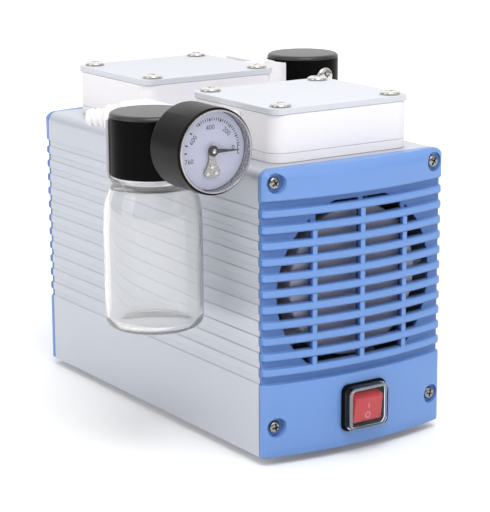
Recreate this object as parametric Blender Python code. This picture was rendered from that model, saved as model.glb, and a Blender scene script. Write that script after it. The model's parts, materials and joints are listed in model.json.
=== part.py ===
"""Twin-head oil-free diaphragm vacuum pump, modelled as separate parts.

Metres, +Z up, +Y towards the rear. The origin is on the bench, midway between the feet.
The motor shaft runs along Y. It drives two eccentrics, and each eccentric's connecting rod
pumps the diaphragm of one head on top of the housing. Pieces that touch keep GAP between them.
"""

from math import cos, pi, radians, sin, sqrt

import bmesh
import bpy
from mathutils import Matrix

# ---------------------------------------------------------------- driving dimensions

GAP = 0.0003

# Housing: an extruded inverted U on a base plate
FOOT_HEIGHT = 0.005
BODY_WIDTH = 0.132
BODY_LENGTH = 0.250
BODY_HEIGHT = 0.172
BODY_TOP = FOOT_HEIGHT + BODY_HEIGHT
WALL = 0.004
CORNER_RADIUS = 0.0065
FLUTE_DEPTH = 0.0008
BASE_THICKNESS = 0.0035
FOOT_X = 0.040
FOOT_Y = 0.092
FOOT_RADIUS = 0.009

# End panels: bowed in plan, with level ribs across a recessed floor
PANEL_EDGE = 0.005
PANEL_BOW = 0.0085
FLOOR_EDGE = 0.002
FLOOR_BOW = 0.0075
FLOOR_THICKNESS = 0.0018
RIB_COUNT = 11
RIB_HEIGHT = 0.0047
RIBS_LOW = FOOT_HEIGHT + 0.0445
RIBS_HIGH = FOOT_HEIGHT + 0.1533
GRILLE_RADIUS = 0.0562
GRILLE_Z = FOOT_HEIGHT + 0.097
GRILLE_LOWEST = -0.0475
GRILLE_HIGHEST = 0.0540
BAR_X = (-0.033, 0.0, 0.033)
BAR_WIDTH = 0.0033
PANEL_SCREW_X = 0.058
PANEL_SCREW_Z = (FOOT_HEIGHT + 0.0183, FOOT_HEIGHT + 0.164)
PANEL_SCREW_HEAD_Y = 0.0035
PANEL_SCREW_DEPTH = 0.010
PANEL_SCREW_BOSS_RADIUS = 0.0045
PANEL_SCREW_HOLE_RADIUS = 0.0022
PANEL_SCREW_RADIUS = 0.0019
PANEL_WELL_RADIUS = 0.0057
PANEL_HEAD_RADIUS = 0.0039
PANEL_HEAD_HEIGHT = 0.0024

# Motor, fans and cranks
SHAFT_Z = FOOT_HEIGHT + 0.099
SHAFT_RADIUS = 0.005
SHAFT_END_Y = 0.1253
FAN_FACE_Y = 0.0033
FAN_HUB_RADIUS = 0.046
FAN_HUB_DEPTH = 0.016
FAN_TIP_RADIUS = 0.055
FAN_BLADES = 5
STATOR_RADIUS = 0.047
STATOR_BORE = 0.0262
STATOR_HALF = 0.026
BRACKET_Y = 0.044
BRACKET_THICKNESS = 0.005
BEARING_RADIUS = 0.011
ECCENTRICITY = 0.003
ECCENTRIC_RADIUS = 0.015
ROD_BEARING_RADIUS = 0.0195
ROD_RING_RADIUS = 0.025
ROD_HALF_WIDTH = 0.006
ROD_DISC_RADIUS = 0.024
ROD_DISC_THICKNESS = 0.004

# Pump heads
HEAD_WIDTH = 0.100
HEAD_DEPTH = 0.090
FRONT_HEAD_Y = -0.0735
REAR_HEAD_Y = 0.0685
FLANGE_TOP = FOOT_HEIGHT + 0.1775
BLOCK_TOP = FOOT_HEIGHT + 0.2001
PLATE_TOP = FOOT_HEIGHT + 0.2039
BLOCK_CORNER = 0.010
PLATE_CORNER = 0.007
COVER_SCREW_INSET_X = 0.0099
COVER_SCREW_INSET_Y = 0.008
COVER_SCREW_RADIUS = 0.003
COVER_HEAD_RADIUS = 0.0063
COVER_HEAD_HEIGHT = 0.0021
CRANK_OPENING_RADIUS = 0.030
FLANGE_BORE = 0.034
DIAPHRAGM_RADIUS = 0.042
DIAPHRAGM_THICKNESS = 0.0018
RECESS_DEPTH = 0.0025
CHAMBER_RADIUS = 0.034
CHAMBER_DEPTH = 0.0065

# Liquid traps
TRAP_X = 0.1046
LEFT_TRAP_Y = -0.073
RIGHT_TRAP_Y = 0.069
CAP_RADIUS = 0.0245
CAP_LOW = FOOT_HEIGHT + 0.166
CAP_TOP = FOOT_HEIGHT + 0.2027
CAP_BORE = 0.0203
CAP_CHAMBER = 0.015
NECK_TOP = FOOT_HEIGHT + 0.179
JAR_RADIUS = 0.0291
JAR_BEAD_RADIUS = 0.0244
JAR_LOW = FOOT_HEIGHT + 0.0768
JAR_WALL = 0.0022
CRADLE_RADIUS = 0.0264
CRADLE_TOP = FOOT_HEIGHT + 0.1955
ARM_HALF_WIDTH = 0.011
PORT_Z = FOOT_HEIGHT + 0.1895
PORT_HALF_HEIGHT = 0.009
LEFT_PORT_OFFSET = 0.0575
RIGHT_PORT_OFFSET = 0.0375
PORT_FACE_X = 0.092
RIGHT_TRAP_RISE = 0.0024
PORT_TURN = radians(45)
BARB_BORE = 0.0025
BARB_COLLAR_RADIUS = 0.0079
BARB_COLLAR_LENGTH = 0.0085
BARB_ROOT_RADIUS = 0.0047
BARB_RIDGE_RADIUS = 0.0058
BARB_RIDGE_PITCH = 0.0036
BARB_RIDGES = 3

# Vacuum gauge
GAUGE_Z = FOOT_HEIGHT + 0.1889
GAUGE_RADIUS = 0.0244
GAUGE_FRONT_Y = -0.142
GAUGE_DEPTH = 0.031
GAUGE_STEM_RADIUS = 0.005

# Rocker switch and power inlet share one panel cut-out
CUTOUT_Z = FOOT_HEIGHT + 0.024
CUTOUT_WIDTH = 0.0276
CUTOUT_HEIGHT = 0.0246
BEZEL_WIDTH = 0.0322
BEZEL_HEIGHT = 0.0290
BEZEL_THICKNESS = 0.002
FRONTMOST_Y = 0.1465
COVER_BASE = (0.0305, 0.0273)
COVER_FRONT = (0.0264, 0.0232)
COVER_SKIN = 0.0007
ROCKER_WIDTH = 0.0205
ROCKER_HEIGHT = 0.0170
ROCKER_FACE = 0.0084
ROCKER_BACK = 0.0045
ROCKER_PIVOT_Y = -0.136
ROCKER_TILT = radians(8)

HALF_WIDTH = BODY_WIDTH / 2
HALF_LENGTH = BODY_LENGTH / 2
GROOVE_HEIGHT = (RIBS_HIGH - RIBS_LOW - RIB_COUNT * RIB_HEIGHT) / (RIB_COUNT + 1)
RIB_PITCH = RIB_HEIGHT + GROOVE_HEIGHT


# ---------------------------------------------------------------- materials

MATERIALS = {
    "aluminium": ((0.58, 0.61, 0.66), 0.38, 1.0),
    "blue_plastic": ((0.21, 0.38, 0.78), 0.42, 0.0),
    "white_ptfe": ((0.90, 0.89, 0.91), 0.50, 0.0),
    "grey_plate": ((0.76, 0.80, 0.86), 0.35, 0.2),
    "steel": ((0.62, 0.61, 0.60), 0.25, 1.0),
    "black_plastic": ((0.02, 0.02, 0.022), 0.35, 0.0),
    "glass": ((0.85, 0.90, 0.90), 0.05, 0.0),
    "rubber": ((0.03, 0.03, 0.03), 0.80, 0.0),
    "red_plastic": ((0.65, 0.03, 0.05), 0.20, 0.0),
    "dial_paint": ((0.62, 0.64, 0.80), 0.60, 0.0),
    "fan_plastic": ((0.42, 0.40, 0.46), 0.50, 0.0),
    "motor_iron": ((0.22, 0.22, 0.23), 0.55, 0.8),
}


def get_material(name):
    material = bpy.data.materials.get(name)
    if material:
        return material
    colour, roughness, metallic = MATERIALS[name]
    material = bpy.data.materials.new(name)
    material.use_nodes = True
    shader = material.node_tree.nodes["Principled BSDF"]
    shader.inputs["Base Color"].default_value = (*colour, 1.0)
    shader.inputs["Roughness"].default_value = roughness
    shader.inputs["Metallic"].default_value = metallic
    material.diffuse_color = (*colour, 1.0)
    return material


# ---------------------------------------------------------------- shape helpers

def clear_scene():
    for old in list(bpy.data.objects):
        bpy.data.objects.remove(old, do_unlink=True)


def on_axis(axis, u, v, height):
    """A point given in the plane across an axis (u, v) and along it (height)."""
    return {"X": (height, u, v), "Y": (u, height, v), "Z": (u, v, height)}[axis]


def add_object(name, mesh, material, location=(0, 0, 0)):
    piece = bpy.data.objects.new(name, mesh)
    bpy.context.scene.collection.objects.link(piece)
    piece.location = location
    mesh.materials.clear()
    mesh.materials.append(get_material(material))
    return piece


def to_mesh(name, bm, smooth=False):
    bmesh.ops.recalc_face_normals(bm, faces=bm.faces)
    mesh = bpy.data.meshes.new(name)
    bm.to_mesh(mesh)
    bm.free()
    if smooth:
        mesh.shade_smooth()
        mesh.set_sharp_from_angle(angle=radians(35))
    return mesh


def lathe(profile, axis="Z", centre=(0, 0), segments=24, ring=False):
    """Turn (radius, height) points about an axis; a ring's profile closes on itself."""
    bm = bmesh.new()
    rows = []
    for radius, height in profile:
        if radius < 1e-7:
            rows.append([bm.verts.new(on_axis(axis, *centre, height))])
            continue
        row = []
        for step in range(segments):
            turn = 2 * pi * step / segments
            u = centre[0] + radius * cos(turn)
            v = centre[1] + radius * sin(turn)
            row.append(bm.verts.new(on_axis(axis, u, v, height)))
        rows.append(row)
    pairs = list(zip(rows, rows[1:]))
    if ring:
        pairs.append((rows[-1], rows[0]))
    for first, second in pairs:
        for step in range(segments):
            after = (step + 1) % segments
            if len(first) == 1:
                bm.faces.new((first[0], second[step], second[after]))
            elif len(second) == 1:
                bm.faces.new((first[step], first[after], second[0]))
            else:
                bm.faces.new((first[step], first[after], second[after], second[step]))
    return to_mesh("lathe", bm, smooth=True)


def cylinder(radius, low, high, axis="Z", centre=(0, 0), segments=24):
    profile = [(0, low), (radius, low), (radius, high), (0, high)]
    return lathe(profile, axis, centre, segments)


def tube(inner, outer, low, high, axis="Z", centre=(0, 0), segments=24):
    profile = [(inner, low), (outer, low), (outer, high), (inner, high)]
    return lathe(profile, axis, centre, segments, ring=True)


def prism(outline, low, high, axis="Z"):
    bm = bmesh.new()
    bottom = [bm.verts.new(on_axis(axis, u, v, low)) for u, v in outline]
    top = [bm.verts.new(on_axis(axis, u, v, high)) for u, v in outline]
    bm.faces.new(bottom)
    bm.faces.new(top)
    count = len(outline)
    for step in range(count):
        after = (step + 1) % count
        bm.faces.new((bottom[step], bottom[after], top[after], top[step]))
    return to_mesh("prism", bm)


def rounded_rectangle(width, height, radius, centre=(0, 0), corner_steps=5):
    corners = ((1, 1, 0), (-1, 1, 90), (-1, -1, 180), (1, -1, 270))
    outline = []
    for side_u, side_v, start in corners:
        for step in range(corner_steps + 1):
            turn = radians(start + 90 * step / corner_steps)
            u = centre[0] + side_u * (width / 2 - radius) + radius * cos(turn)
            v = centre[1] + side_v * (height / 2 - radius) + radius * sin(turn)
            outline.append((u, v))
    return outline


def box(x_range, y_range, z_range):
    outline = [(x_range[0], y_range[0]), (x_range[1], y_range[0]),
               (x_range[1], y_range[1]), (x_range[0], y_range[1])]
    return prism(outline, *z_range)


def combine(mesh, others, operation):
    """Apply one Boolean after another and give back the finished mesh."""
    base = bpy.data.objects.new("base", mesh)
    bpy.context.scene.collection.objects.link(base)
    for other in others:
        tool = bpy.data.objects.new("tool", other)
        bpy.context.scene.collection.objects.link(tool)
        modifier = base.modifiers.new("combine", "BOOLEAN")
        modifier.operation = operation
        modifier.solver = "EXACT"
        modifier.object = tool
        depsgraph = bpy.context.evaluated_depsgraph_get()
        result = bpy.data.meshes.new_from_object(base.evaluated_get(depsgraph))
        base.modifiers.clear()
        base.data = result
        bpy.data.objects.remove(tool, do_unlink=True)
    finished = base.data
    bpy.data.objects.remove(base, do_unlink=True)
    weld(finished)
    return finished


def weld(mesh):
    """Merge doubled vertices that a Boolean leaves along its cuts."""
    bm = bmesh.new()
    bm.from_mesh(mesh)
    bmesh.ops.remove_doubles(bm, verts=bm.verts, dist=2e-6)
    bmesh.ops.dissolve_degenerate(bm, edges=bm.edges, dist=2e-6)
    bm.to_mesh(mesh)
    bm.free()


def cut(mesh, *cutters):
    return combine(mesh, cutters, "DIFFERENCE")


def join(mesh, *others):
    return combine(mesh, others, "UNION")


def screw_mesh(shank_radius, shank_length, head_radius, head_height, segments=12):
    """A pan-head screw standing on z = 0, with its shank below and its driver recess left plain."""
    profile = [(0, -shank_length), (shank_radius, -shank_length), (shank_radius, 0), (head_radius, 0),
               (head_radius, head_height * 0.5), (head_radius * 0.8, head_height), (0, head_height)]
    return lathe(profile, segments=segments)


# ---------------------------------------------------------------- housing

def groove_ranges():
    """The height range of each groove, bottom to top; the ribs lie between them."""
    return [(RIBS_LOW + i * RIB_PITCH, RIBS_LOW + i * RIB_PITCH + GROOVE_HEIGHT)
            for i in range(RIB_COUNT + 1)]


def housing_outline():
    """The extrusion's cross-section, from the right foot over the top to the left one."""
    right = [(HALF_WIDTH, FOOT_HEIGHT)]
    for low, high in groove_ranges():
        right += [(HALF_WIDTH, low), (HALF_WIDTH - FLUTE_DEPTH, low),
                  (HALF_WIDTH - FLUTE_DEPTH, high), (HALF_WIDTH, high)]
    for step in range(6):
        turn = radians(90 * step / 5)
        right.append((HALF_WIDTH - CORNER_RADIUS + CORNER_RADIUS * cos(turn),
                      BODY_TOP - CORNER_RADIUS + CORNER_RADIUS * sin(turn)))
    left = [(-u, v) for u, v in reversed(right)]
    inner_u = HALF_WIDTH - WALL
    inner_v = BODY_TOP - WALL
    inside = [(-inner_u, FOOT_HEIGHT), (-inner_u, inner_v - WALL), (-inner_u + WALL, inner_v),
              (inner_u - WALL, inner_v), (inner_u, inner_v - WALL), (inner_u, FOOT_HEIGHT)]
    return right + left + inside


def cover_screw_places(head_y):
    reach_x = HEAD_WIDTH / 2 - COVER_SCREW_INSET_X
    reach_y = HEAD_DEPTH / 2 - COVER_SCREW_INSET_Y
    return [(side_x * reach_x, head_y + side_y * reach_y) for side_y in (-1, 1) for side_x in (-1, 1)]


def screw_hole_cutters(head_y, low, high):
    hole = COVER_SCREW_RADIUS + GAP
    return [cylinder(hole, low, high, centre=place, segments=10) for place in cover_screw_places(head_y)]


def panel_screw_places():
    return [(side * PANEL_SCREW_X, height) for height in PANEL_SCREW_Z for side in (-1, 1)]


def build_housing():
    shell = prism(housing_outline(), -HALF_LENGTH, HALF_LENGTH, axis="Y")
    bosses = [cylinder(PANEL_SCREW_BOSS_RADIUS, -HALF_LENGTH, HALF_LENGTH, "Y", place, 10)
              for place in panel_screw_places()]
    shell = join(shell, *bosses)
    drills = []
    for head_y in (FRONT_HEAD_Y, REAR_HEAD_Y):
        drills.append(cylinder(CRANK_OPENING_RADIUS, BODY_TOP - 0.010, BODY_TOP + 0.001, centre=(0, head_y)))
        drills += screw_hole_cutters(head_y, BODY_TOP - 0.010, BODY_TOP + 0.001)
    for place in panel_screw_places():
        for end in (-1, 1):
            mouth = end * (HALF_LENGTH + 0.001)
            floor = end * (HALF_LENGTH - PANEL_SCREW_DEPTH)
            low, high = sorted((mouth, floor))
            drills.append(cylinder(PANEL_SCREW_HOLE_RADIUS, low, high, "Y", place, 8))
    add_object("housing_shell", cut(shell, *drills), "aluminium")


def build_base():
    half_x = HALF_WIDTH - WALL - GAP
    half_y = HALF_LENGTH - GAP
    plate = box((-half_x, half_x), (-half_y, half_y), (FOOT_HEIGHT, FOOT_HEIGHT + BASE_THICKNESS))
    add_object("base_plate", plate, "aluminium")
    top = FOOT_HEIGHT - GAP
    profile = [(0, 0), (FOOT_RADIUS - 0.001, 0), (FOOT_RADIUS, 0.001), (FOOT_RADIUS - 0.001, top), (0, top)]
    names = ("foot_front_left", "foot_front_right", "foot_rear_left", "foot_rear_right")
    places = [(side_x * FOOT_X, side_y * FOOT_Y, 0) for side_y in (-1, 1) for side_x in (-1, 1)]
    foot = lathe(profile, segments=16)
    for name, place in zip(names, places):
        add_object(name, foot, "rubber", place)


# ---------------------------------------------------------------- end panels

def bowed(edge, bow, x):
    """Depth of a bowed surface in front of the housing's end face."""
    return -(edge + bow * (1 - (x / HALF_WIDTH) ** 2))


def panel_blank(stations=6):
    """Bowed shell whose front steps back to the floor at each groove, closed along top and bottom."""
    bm = bmesh.new()
    rows = []
    for step in range(stations + 1):
        x = -HALF_WIDTH + BODY_WIDTH * step / stations
        front = bowed(PANEL_EDGE, PANEL_BOW, x)
        floor = bowed(FLOOR_EDGE, FLOOR_BOW, x)
        back = min(floor + FLOOR_THICKNESS, -2 * GAP)
        profile = [(back, FOOT_HEIGHT + WALL), (-GAP, FOOT_HEIGHT + WALL),
                   (-GAP, FOOT_HEIGHT), (front, FOOT_HEIGHT)]
        for low, high in groove_ranges():
            profile += [(front, low), (floor, low), (floor, high), (front, high)]
        profile += [(front, BODY_TOP), (-GAP, BODY_TOP), (-GAP, BODY_TOP - WALL), (back, BODY_TOP - WALL)]
        rows.append([bm.verts.new((x, y, z)) for y, z in profile])
    count = len(rows[0])
    for first, second in zip(rows, rows[1:]):
        for step in range(count):
            after = (step + 1) % count
            bm.faces.new((first[step], first[after], second[after], second[step]))
    bm.faces.new(rows[0])
    bm.faces.new(rows[-1])
    return to_mesh("panel", bm)


def grille_slot(x_low, x_high, low, high):
    """One air slot: a groove's height range between two bars, clipped to the grille's outline."""
    inset = 0.0002
    shortest = 0.001
    nearest = 0 if x_low < 0 < x_high else min(abs(x_low), abs(x_high))
    tallest = sqrt(GRILLE_RADIUS ** 2 - nearest ** 2) - inset
    low = max(low + inset, GRILLE_Z + max(GRILLE_LOWEST, -tallest))
    high = min(high - inset, GRILLE_Z + min(GRILLE_HIGHEST, tallest))
    if high - low < shortest:
        return None
    ends = []
    for level in (low, high):
        reach = sqrt(GRILLE_RADIUS ** 2 - (level - GRILLE_Z) ** 2)
        ends.append((max(x_low, -reach), min(x_high, reach), level))
    outline = [(right, level) for _, right, level in ends]
    outline += [(left, level) for left, _, level in reversed(ends)]
    return prism(outline, -0.020, 0.001, axis="Y")


def grille_cutters():
    edges = [-GRILLE_RADIUS]
    for x in BAR_X:
        edges += [x - BAR_WIDTH / 2, x + BAR_WIDTH / 2]
    edges.append(GRILLE_RADIUS)
    spans = list(zip(edges[0::2], edges[1::2]))
    slots = [grille_slot(a, b, low, high) for low, high in groove_ranges() for a, b in spans]
    return [slot for slot in slots if slot]


def grille_bars():
    bars = []
    half = BAR_WIDTH / 2 - 0.0001
    proud = 0.0006
    sunk = 0.001
    for x in BAR_X:
        chord = sqrt(GRILLE_RADIUS ** 2 - x ** 2)
        low = max(-chord, GRILLE_LOWEST)
        high = min(chord - RIB_HEIGHT, GRILLE_HIGHEST - 0.003)
        front = bowed(PANEL_EDGE, PANEL_BOW, abs(x) + half) + proud
        back = bowed(FLOOR_EDGE, FLOOR_BOW, x) + sunk
        bars.append(box((x - half, x + half), (front, back), (GRILLE_Z + low, GRILLE_Z + high)))
    return bars


def panel_mesh():
    limit = HALF_WIDTH + 1e-4
    middle = (0, FOOT_HEIGHT + BODY_HEIGHT / 2)
    outline = rounded_rectangle(BODY_WIDTH + 0.001, BODY_HEIGHT, CORNER_RADIUS, middle)
    frame = [(max(-limit, min(limit, u)), v) for u, v in outline]
    corners = prism(frame, -0.030, 0.010, axis="Y")
    panel = combine(panel_blank(), [corners], "INTERSECT")
    cutters = grille_cutters()
    for place in panel_screw_places():
        cutters.append(cylinder(PANEL_WELL_RADIUS, -0.030, -PANEL_SCREW_HEAD_Y, "Y", place, 12))
        cutters.append(cylinder(PANEL_SCREW_HOLE_RADIUS, -0.030, 0.010, "Y", place, 8))
    opening = rounded_rectangle(CUTOUT_WIDTH, CUTOUT_HEIGHT, 0.001, (0, CUTOUT_Z), 1)
    cutters.append(prism(opening, -0.030, 0.010, axis="Y"))
    return join(cut(panel, *cutters), *grille_bars())


def build_panels():
    mesh = panel_mesh()
    add_object("front_panel", mesh, "blue_plastic", (0, -HALF_LENGTH, 0))
    rear = add_object("rear_panel", mesh, "blue_plastic", (0, HALF_LENGTH, 0))
    rear.rotation_euler = (0, 0, pi)
    length = PANEL_SCREW_HEAD_Y + PANEL_SCREW_DEPTH - 0.003
    screw = screw_mesh(PANEL_SCREW_RADIUS, length, PANEL_HEAD_RADIUS, PANEL_HEAD_HEIGHT)
    for number, (x, z) in enumerate(panel_screw_places(), 1):
        place = (x, -HALF_LENGTH - PANEL_SCREW_HEAD_Y - GAP, z)
        piece = add_object(f"front_panel_screw_{number}", screw, "steel", place)
        piece.rotation_euler = (pi / 2, 0, 0)


# ---------------------------------------------------------------- motor and cranks

def fan_mesh():
    """Large cup hub facing -Y with short pitched blades round its rim."""
    wall = 0.0025
    boss = 0.009
    bore = SHAFT_RADIUS + GAP
    depth = FAN_HUB_DEPTH
    rim = FAN_HUB_RADIUS
    profile = [(0, 0), (rim - 0.002, 0), (rim, 0.002), (rim, depth), (rim - wall, depth), (rim - wall, wall),
               (boss, wall), (boss, depth), (bore, depth), (bore, wall - GAP), (0, wall - GAP)]
    hub = lathe(profile, axis="Y", segments=24)
    blades = []
    for number in range(FAN_BLADES):
        blade = box((rim - 0.0015, FAN_TIP_RADIUS), (-0.0008, 0.0008), (-0.006, 0.006))
        blade.transform(Matrix.Rotation(radians(55), 4, "X"))
        blade.transform(Matrix.Translation((0, depth / 2 + 0.001, 0)))
        blade.transform(Matrix.Rotation(2 * pi * number / FAN_BLADES, 4, "Y"))
        blades.append(blade)
    return join(hub, *blades)


def build_fans():
    mesh = fan_mesh()
    add_object("front_fan", mesh, "fan_plastic", (0, -HALF_LENGTH - FAN_FACE_Y, SHAFT_Z))
    rear = add_object("rear_fan", mesh, "fan_plastic", (0, HALF_LENGTH + FAN_FACE_Y, SHAFT_Z))
    rear.rotation_euler = (0, 0, pi)


def build_motor():
    coil_inner = 0.030
    coil_outer = 0.042
    coil_half = 0.037
    bore = SHAFT_RADIUS + GAP
    profile = [(STATOR_BORE, -STATOR_HALF), (coil_inner, -STATOR_HALF), (coil_inner, -coil_half),
               (coil_outer, -coil_half), (coil_outer, -STATOR_HALF), (STATOR_RADIUS, -STATOR_HALF)]
    profile += [(radius, -height) for radius, height in reversed(profile)]
    centre = (0, 0, SHAFT_Z)
    add_object("motor_stator", lathe(profile, "Y", segments=24, ring=True), "motor_iron", centre)
    rotor = tube(bore, STATOR_BORE - 0.0007, -0.025, 0.025, "Y")
    add_object("motor_rotor", rotor, "motor_iron", centre)
    shaft = cylinder(SHAFT_RADIUS, -SHAFT_END_Y, SHAFT_END_Y, "Y", segments=20)
    add_object("motor_shaft", shaft, "steel", centre)
    bearing = tube(bore, BEARING_RADIUS, -0.0035, 0.0035, "Y", segments=20)
    half = BRACKET_THICKNESS / 2
    low = FOOT_HEIGHT + BASE_THICKNESS + GAP - SHAFT_Z
    outline = rounded_rectangle(0.106, 0.048 - low, 0.004, (0, (0.048 + low) / 2), 2)
    bracket = prism(outline, -half, half, axis="Y")
    drills = [cylinder(BEARING_RADIUS + GAP, -0.01, 0.01, "Y", segments=20)]
    for u in (-0.034, 0.034):
        for v in (-0.054, 0.018):
            drills.append(cylinder(0.014, -0.01, 0.01, "Y", (u, v), 10))
    bracket = cut(bracket, *drills)
    for name, side in (("front", -1), ("rear", 1)):
        place = (0, side * BRACKET_Y, SHAFT_Z)
        add_object(f"{name}_end_bracket", bracket, "aluminium", place)
        add_object(f"{name}_shaft_bearing", bearing, "steel", place)


def eccentric_mesh(up, inward):
    """Offset disc with its counterweight; up is the throw's side, inward the motor's side."""
    throw = up * ECCENTRICITY
    disc = cylinder(ECCENTRIC_RADIUS, -ROD_HALF_WIDTH, ROD_HALF_WIDTH, "Y", (0, throw), 16)
    low, high = sorted((inward * 0.004, inward * 0.013))
    hub = cylinder(0.009, low, high, "Y", segments=12)
    outline = [(0.026 * cos(turn), -up * 0.026 * sin(turn))
               for turn in [pi * step / 10 for step in range(11)]]
    low, high = sorted((inward * 0.007, inward * 0.013))
    weight = prism(outline, low, high, axis="Y")
    bore = cylinder(SHAFT_RADIUS + 2 * GAP, -0.02, 0.02, "Y", segments=12)
    return cut(join(disc, hub, weight), bore)


def con_rod_mesh(top):
    """Ring round the eccentric, shank and the disc that carries the diaphragm."""
    shank_x = 0.006
    shank_y = 0.005
    ring = cylinder(ROD_RING_RADIUS, -ROD_HALF_WIDTH, ROD_HALF_WIDTH, "Y", segments=20)
    shank = box((-shank_x, shank_x), (-shank_y, shank_y), (ROD_BEARING_RADIUS, top - 0.001))
    disc = cylinder(ROD_DISC_RADIUS, top - ROD_DISC_THICKNESS, top, segments=20)
    bore = cylinder(ROD_BEARING_RADIUS + 2 * GAP, -0.02, 0.02, "Y", segments=20)
    return cut(join(ring, shank, disc), bore)


def build_cranks():
    rod_top = FLANGE_TOP - 0.0002 - (SHAFT_Z + ECCENTRICITY)
    rod = con_rod_mesh(rod_top)
    bearing = tube(ECCENTRIC_RADIUS + 2 * GAP, ROD_BEARING_RADIUS, -0.005, 0.005, "Y", segments=20)
    for name, head_y, up, inward in (("front", FRONT_HEAD_Y, 1, 1), ("rear", REAR_HEAD_Y, -1, -1)):
        pivot = (0, head_y, SHAFT_Z + up * ECCENTRICITY)
        eccentric = eccentric_mesh(up, inward)
        add_object(f"{name}_eccentric", eccentric, "steel", (0, head_y, SHAFT_Z))
        add_object(f"{name}_rod_bearing", bearing, "steel", pivot)
        add_object(f"{name}_con_rod", rod, "aluminium", pivot)


# ---------------------------------------------------------------- pump heads

def head_layer(head_y, low, high, corner):
    outline = rounded_rectangle(HEAD_WIDTH, HEAD_DEPTH, corner, (0, head_y), 4)
    return prism(outline, low, high)


def diaphragm_mesh():
    """Flat sheet with one raised convolution, standing on z = 0."""
    thick = DIAPHRAGM_THICKNESS
    fold = 0.0009
    upper = [(DIAPHRAGM_RADIUS, thick), (0.0335, thick), (0.029, thick + fold), (0.0245, thick), (0, thick)]
    lower = [(radius, height - thick) for radius, height in reversed(upper)]
    return lathe(lower + upper, segments=16)


def build_heads():
    diaphragm = diaphragm_mesh()
    shank = PLATE_TOP - (BODY_TOP - 0.002)
    screw = screw_mesh(COVER_SCREW_RADIUS - GAP / 3, shank, COVER_HEAD_RADIUS, COVER_HEAD_HEIGHT)
    for name, head_y in (("front", FRONT_HEAD_Y), ("rear", REAR_HEAD_Y)):
        holes = screw_hole_cutters(head_y, BODY_TOP - 0.01, PLATE_TOP + 0.01)
        flange = head_layer(head_y, BODY_TOP + GAP, FLANGE_TOP, BLOCK_CORNER)
        bore = cylinder(FLANGE_BORE, BODY_TOP - 0.01, FLANGE_TOP + 0.01, centre=(0, head_y))
        add_object(f"{name}_flange", cut(flange, bore, *holes), "white_ptfe")

        seat = FLANGE_TOP + GAP
        holes = screw_hole_cutters(head_y, BODY_TOP - 0.01, PLATE_TOP + 0.01)
        block = head_layer(head_y, seat, BLOCK_TOP, BLOCK_CORNER)
        recess = cylinder(DIAPHRAGM_RADIUS + 0.0004, seat - 0.01, seat + RECESS_DEPTH, centre=(0, head_y))
        chamber = cylinder(CHAMBER_RADIUS, seat - 0.01, seat + CHAMBER_DEPTH, centre=(0, head_y))
        add_object(f"{name}_head_block", cut(block, recess, chamber, *holes), "white_ptfe")

        holes = screw_hole_cutters(head_y, BODY_TOP - 0.01, PLATE_TOP + 0.01)
        plate = head_layer(head_y, BLOCK_TOP + GAP, PLATE_TOP, PLATE_CORNER)
        add_object(f"{name}_cover_plate", cut(plate, *holes), "grey_plate")

        add_object(f"{name}_diaphragm", diaphragm, "rubber", (0, head_y, seat))
        for number, (x, y) in enumerate(cover_screw_places(head_y), 1):
            place = (x, y, PLATE_TOP + GAP)
            add_object(f"{name}_cover_screw_{number}", screw, "steel", place)


# ---------------------------------------------------------------- liquid traps and ports

def jar_mesh():
    """Glass jar hanging from its neck; heights are world heights, the axis is local."""
    neck = CAP_BORE - GAP
    wall = JAR_WALL
    foot = 0.006
    shoulder = ((0.0, 0.0310), (0.0006, 0.0190), (0.0016, 0.0140), (0.0036, 0.0095))
    side = [(JAR_RADIUS - inset, CAP_LOW - depth) for inset, depth in shoulder]
    outer = [(0, JAR_LOW), (JAR_RADIUS - foot, JAR_LOW), (JAR_RADIUS - foot * 0.3, JAR_LOW + foot * 0.3),
             (JAR_RADIUS, JAR_LOW + foot)]
    outer += side + [(JAR_BEAD_RADIUS, CAP_LOW - 0.0055), (JAR_BEAD_RADIUS, CAP_LOW - 0.0008),
                     (neck, CAP_LOW - 0.0004), (neck, NECK_TOP)]
    inner = [(neck - wall, NECK_TOP), (neck - wall, CAP_LOW - 0.007)]
    inner += [(radius - wall, height - wall * 0.4) for radius, height in reversed(side)]
    floor = JAR_LOW + wall + 0.0004
    inner += [(JAR_RADIUS - wall, JAR_LOW + foot + 0.0005), (JAR_RADIUS - foot - 0.001, floor), (0, floor)]
    return lathe(outer + inner, segments=20)


def cap_mesh(trap_x, trap_y):
    """Black cap: threaded bore for the jar's neck, chamber above, and a port in its front."""
    edge = 0.0022
    rounding = [(CAP_RADIUS - edge + edge * cos(turn), CAP_TOP - edge + edge * sin(turn))
                for turn in [radians(30 * step) for step in range(4)]]
    profile = [(CAP_CHAMBER, CAP_TOP - 0.004), (CAP_CHAMBER, NECK_TOP + GAP), (CAP_BORE, NECK_TOP + GAP),
               (CAP_BORE, CAP_LOW), (CAP_RADIUS - 0.0008, CAP_LOW), (CAP_RADIUS, CAP_LOW + 0.0008)]
    profile = [(0, CAP_TOP - 0.004)] + profile + rounding + [(0, CAP_TOP)]
    cap = lathe(profile, centre=(trap_x, trap_y), segments=24)
    front = trap_y - CAP_RADIUS
    socket = cylinder(GAUGE_STEM_RADIUS + GAP, front - 0.01, front + 0.0055, "Y", (trap_x, GAUGE_Z), 12)
    return cut(cap, socket)


def port_place(side, port_y):
    """Where a hose barb starts, its own +X pointing out of the arm at 45 degrees to the rear."""
    turn = PORT_TURN if side > 0 else pi - PORT_TURN
    return Matrix.Translation((side * PORT_FACE_X, port_y, PORT_Z)) @ Matrix.Rotation(turn, 4, "Z")


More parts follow.
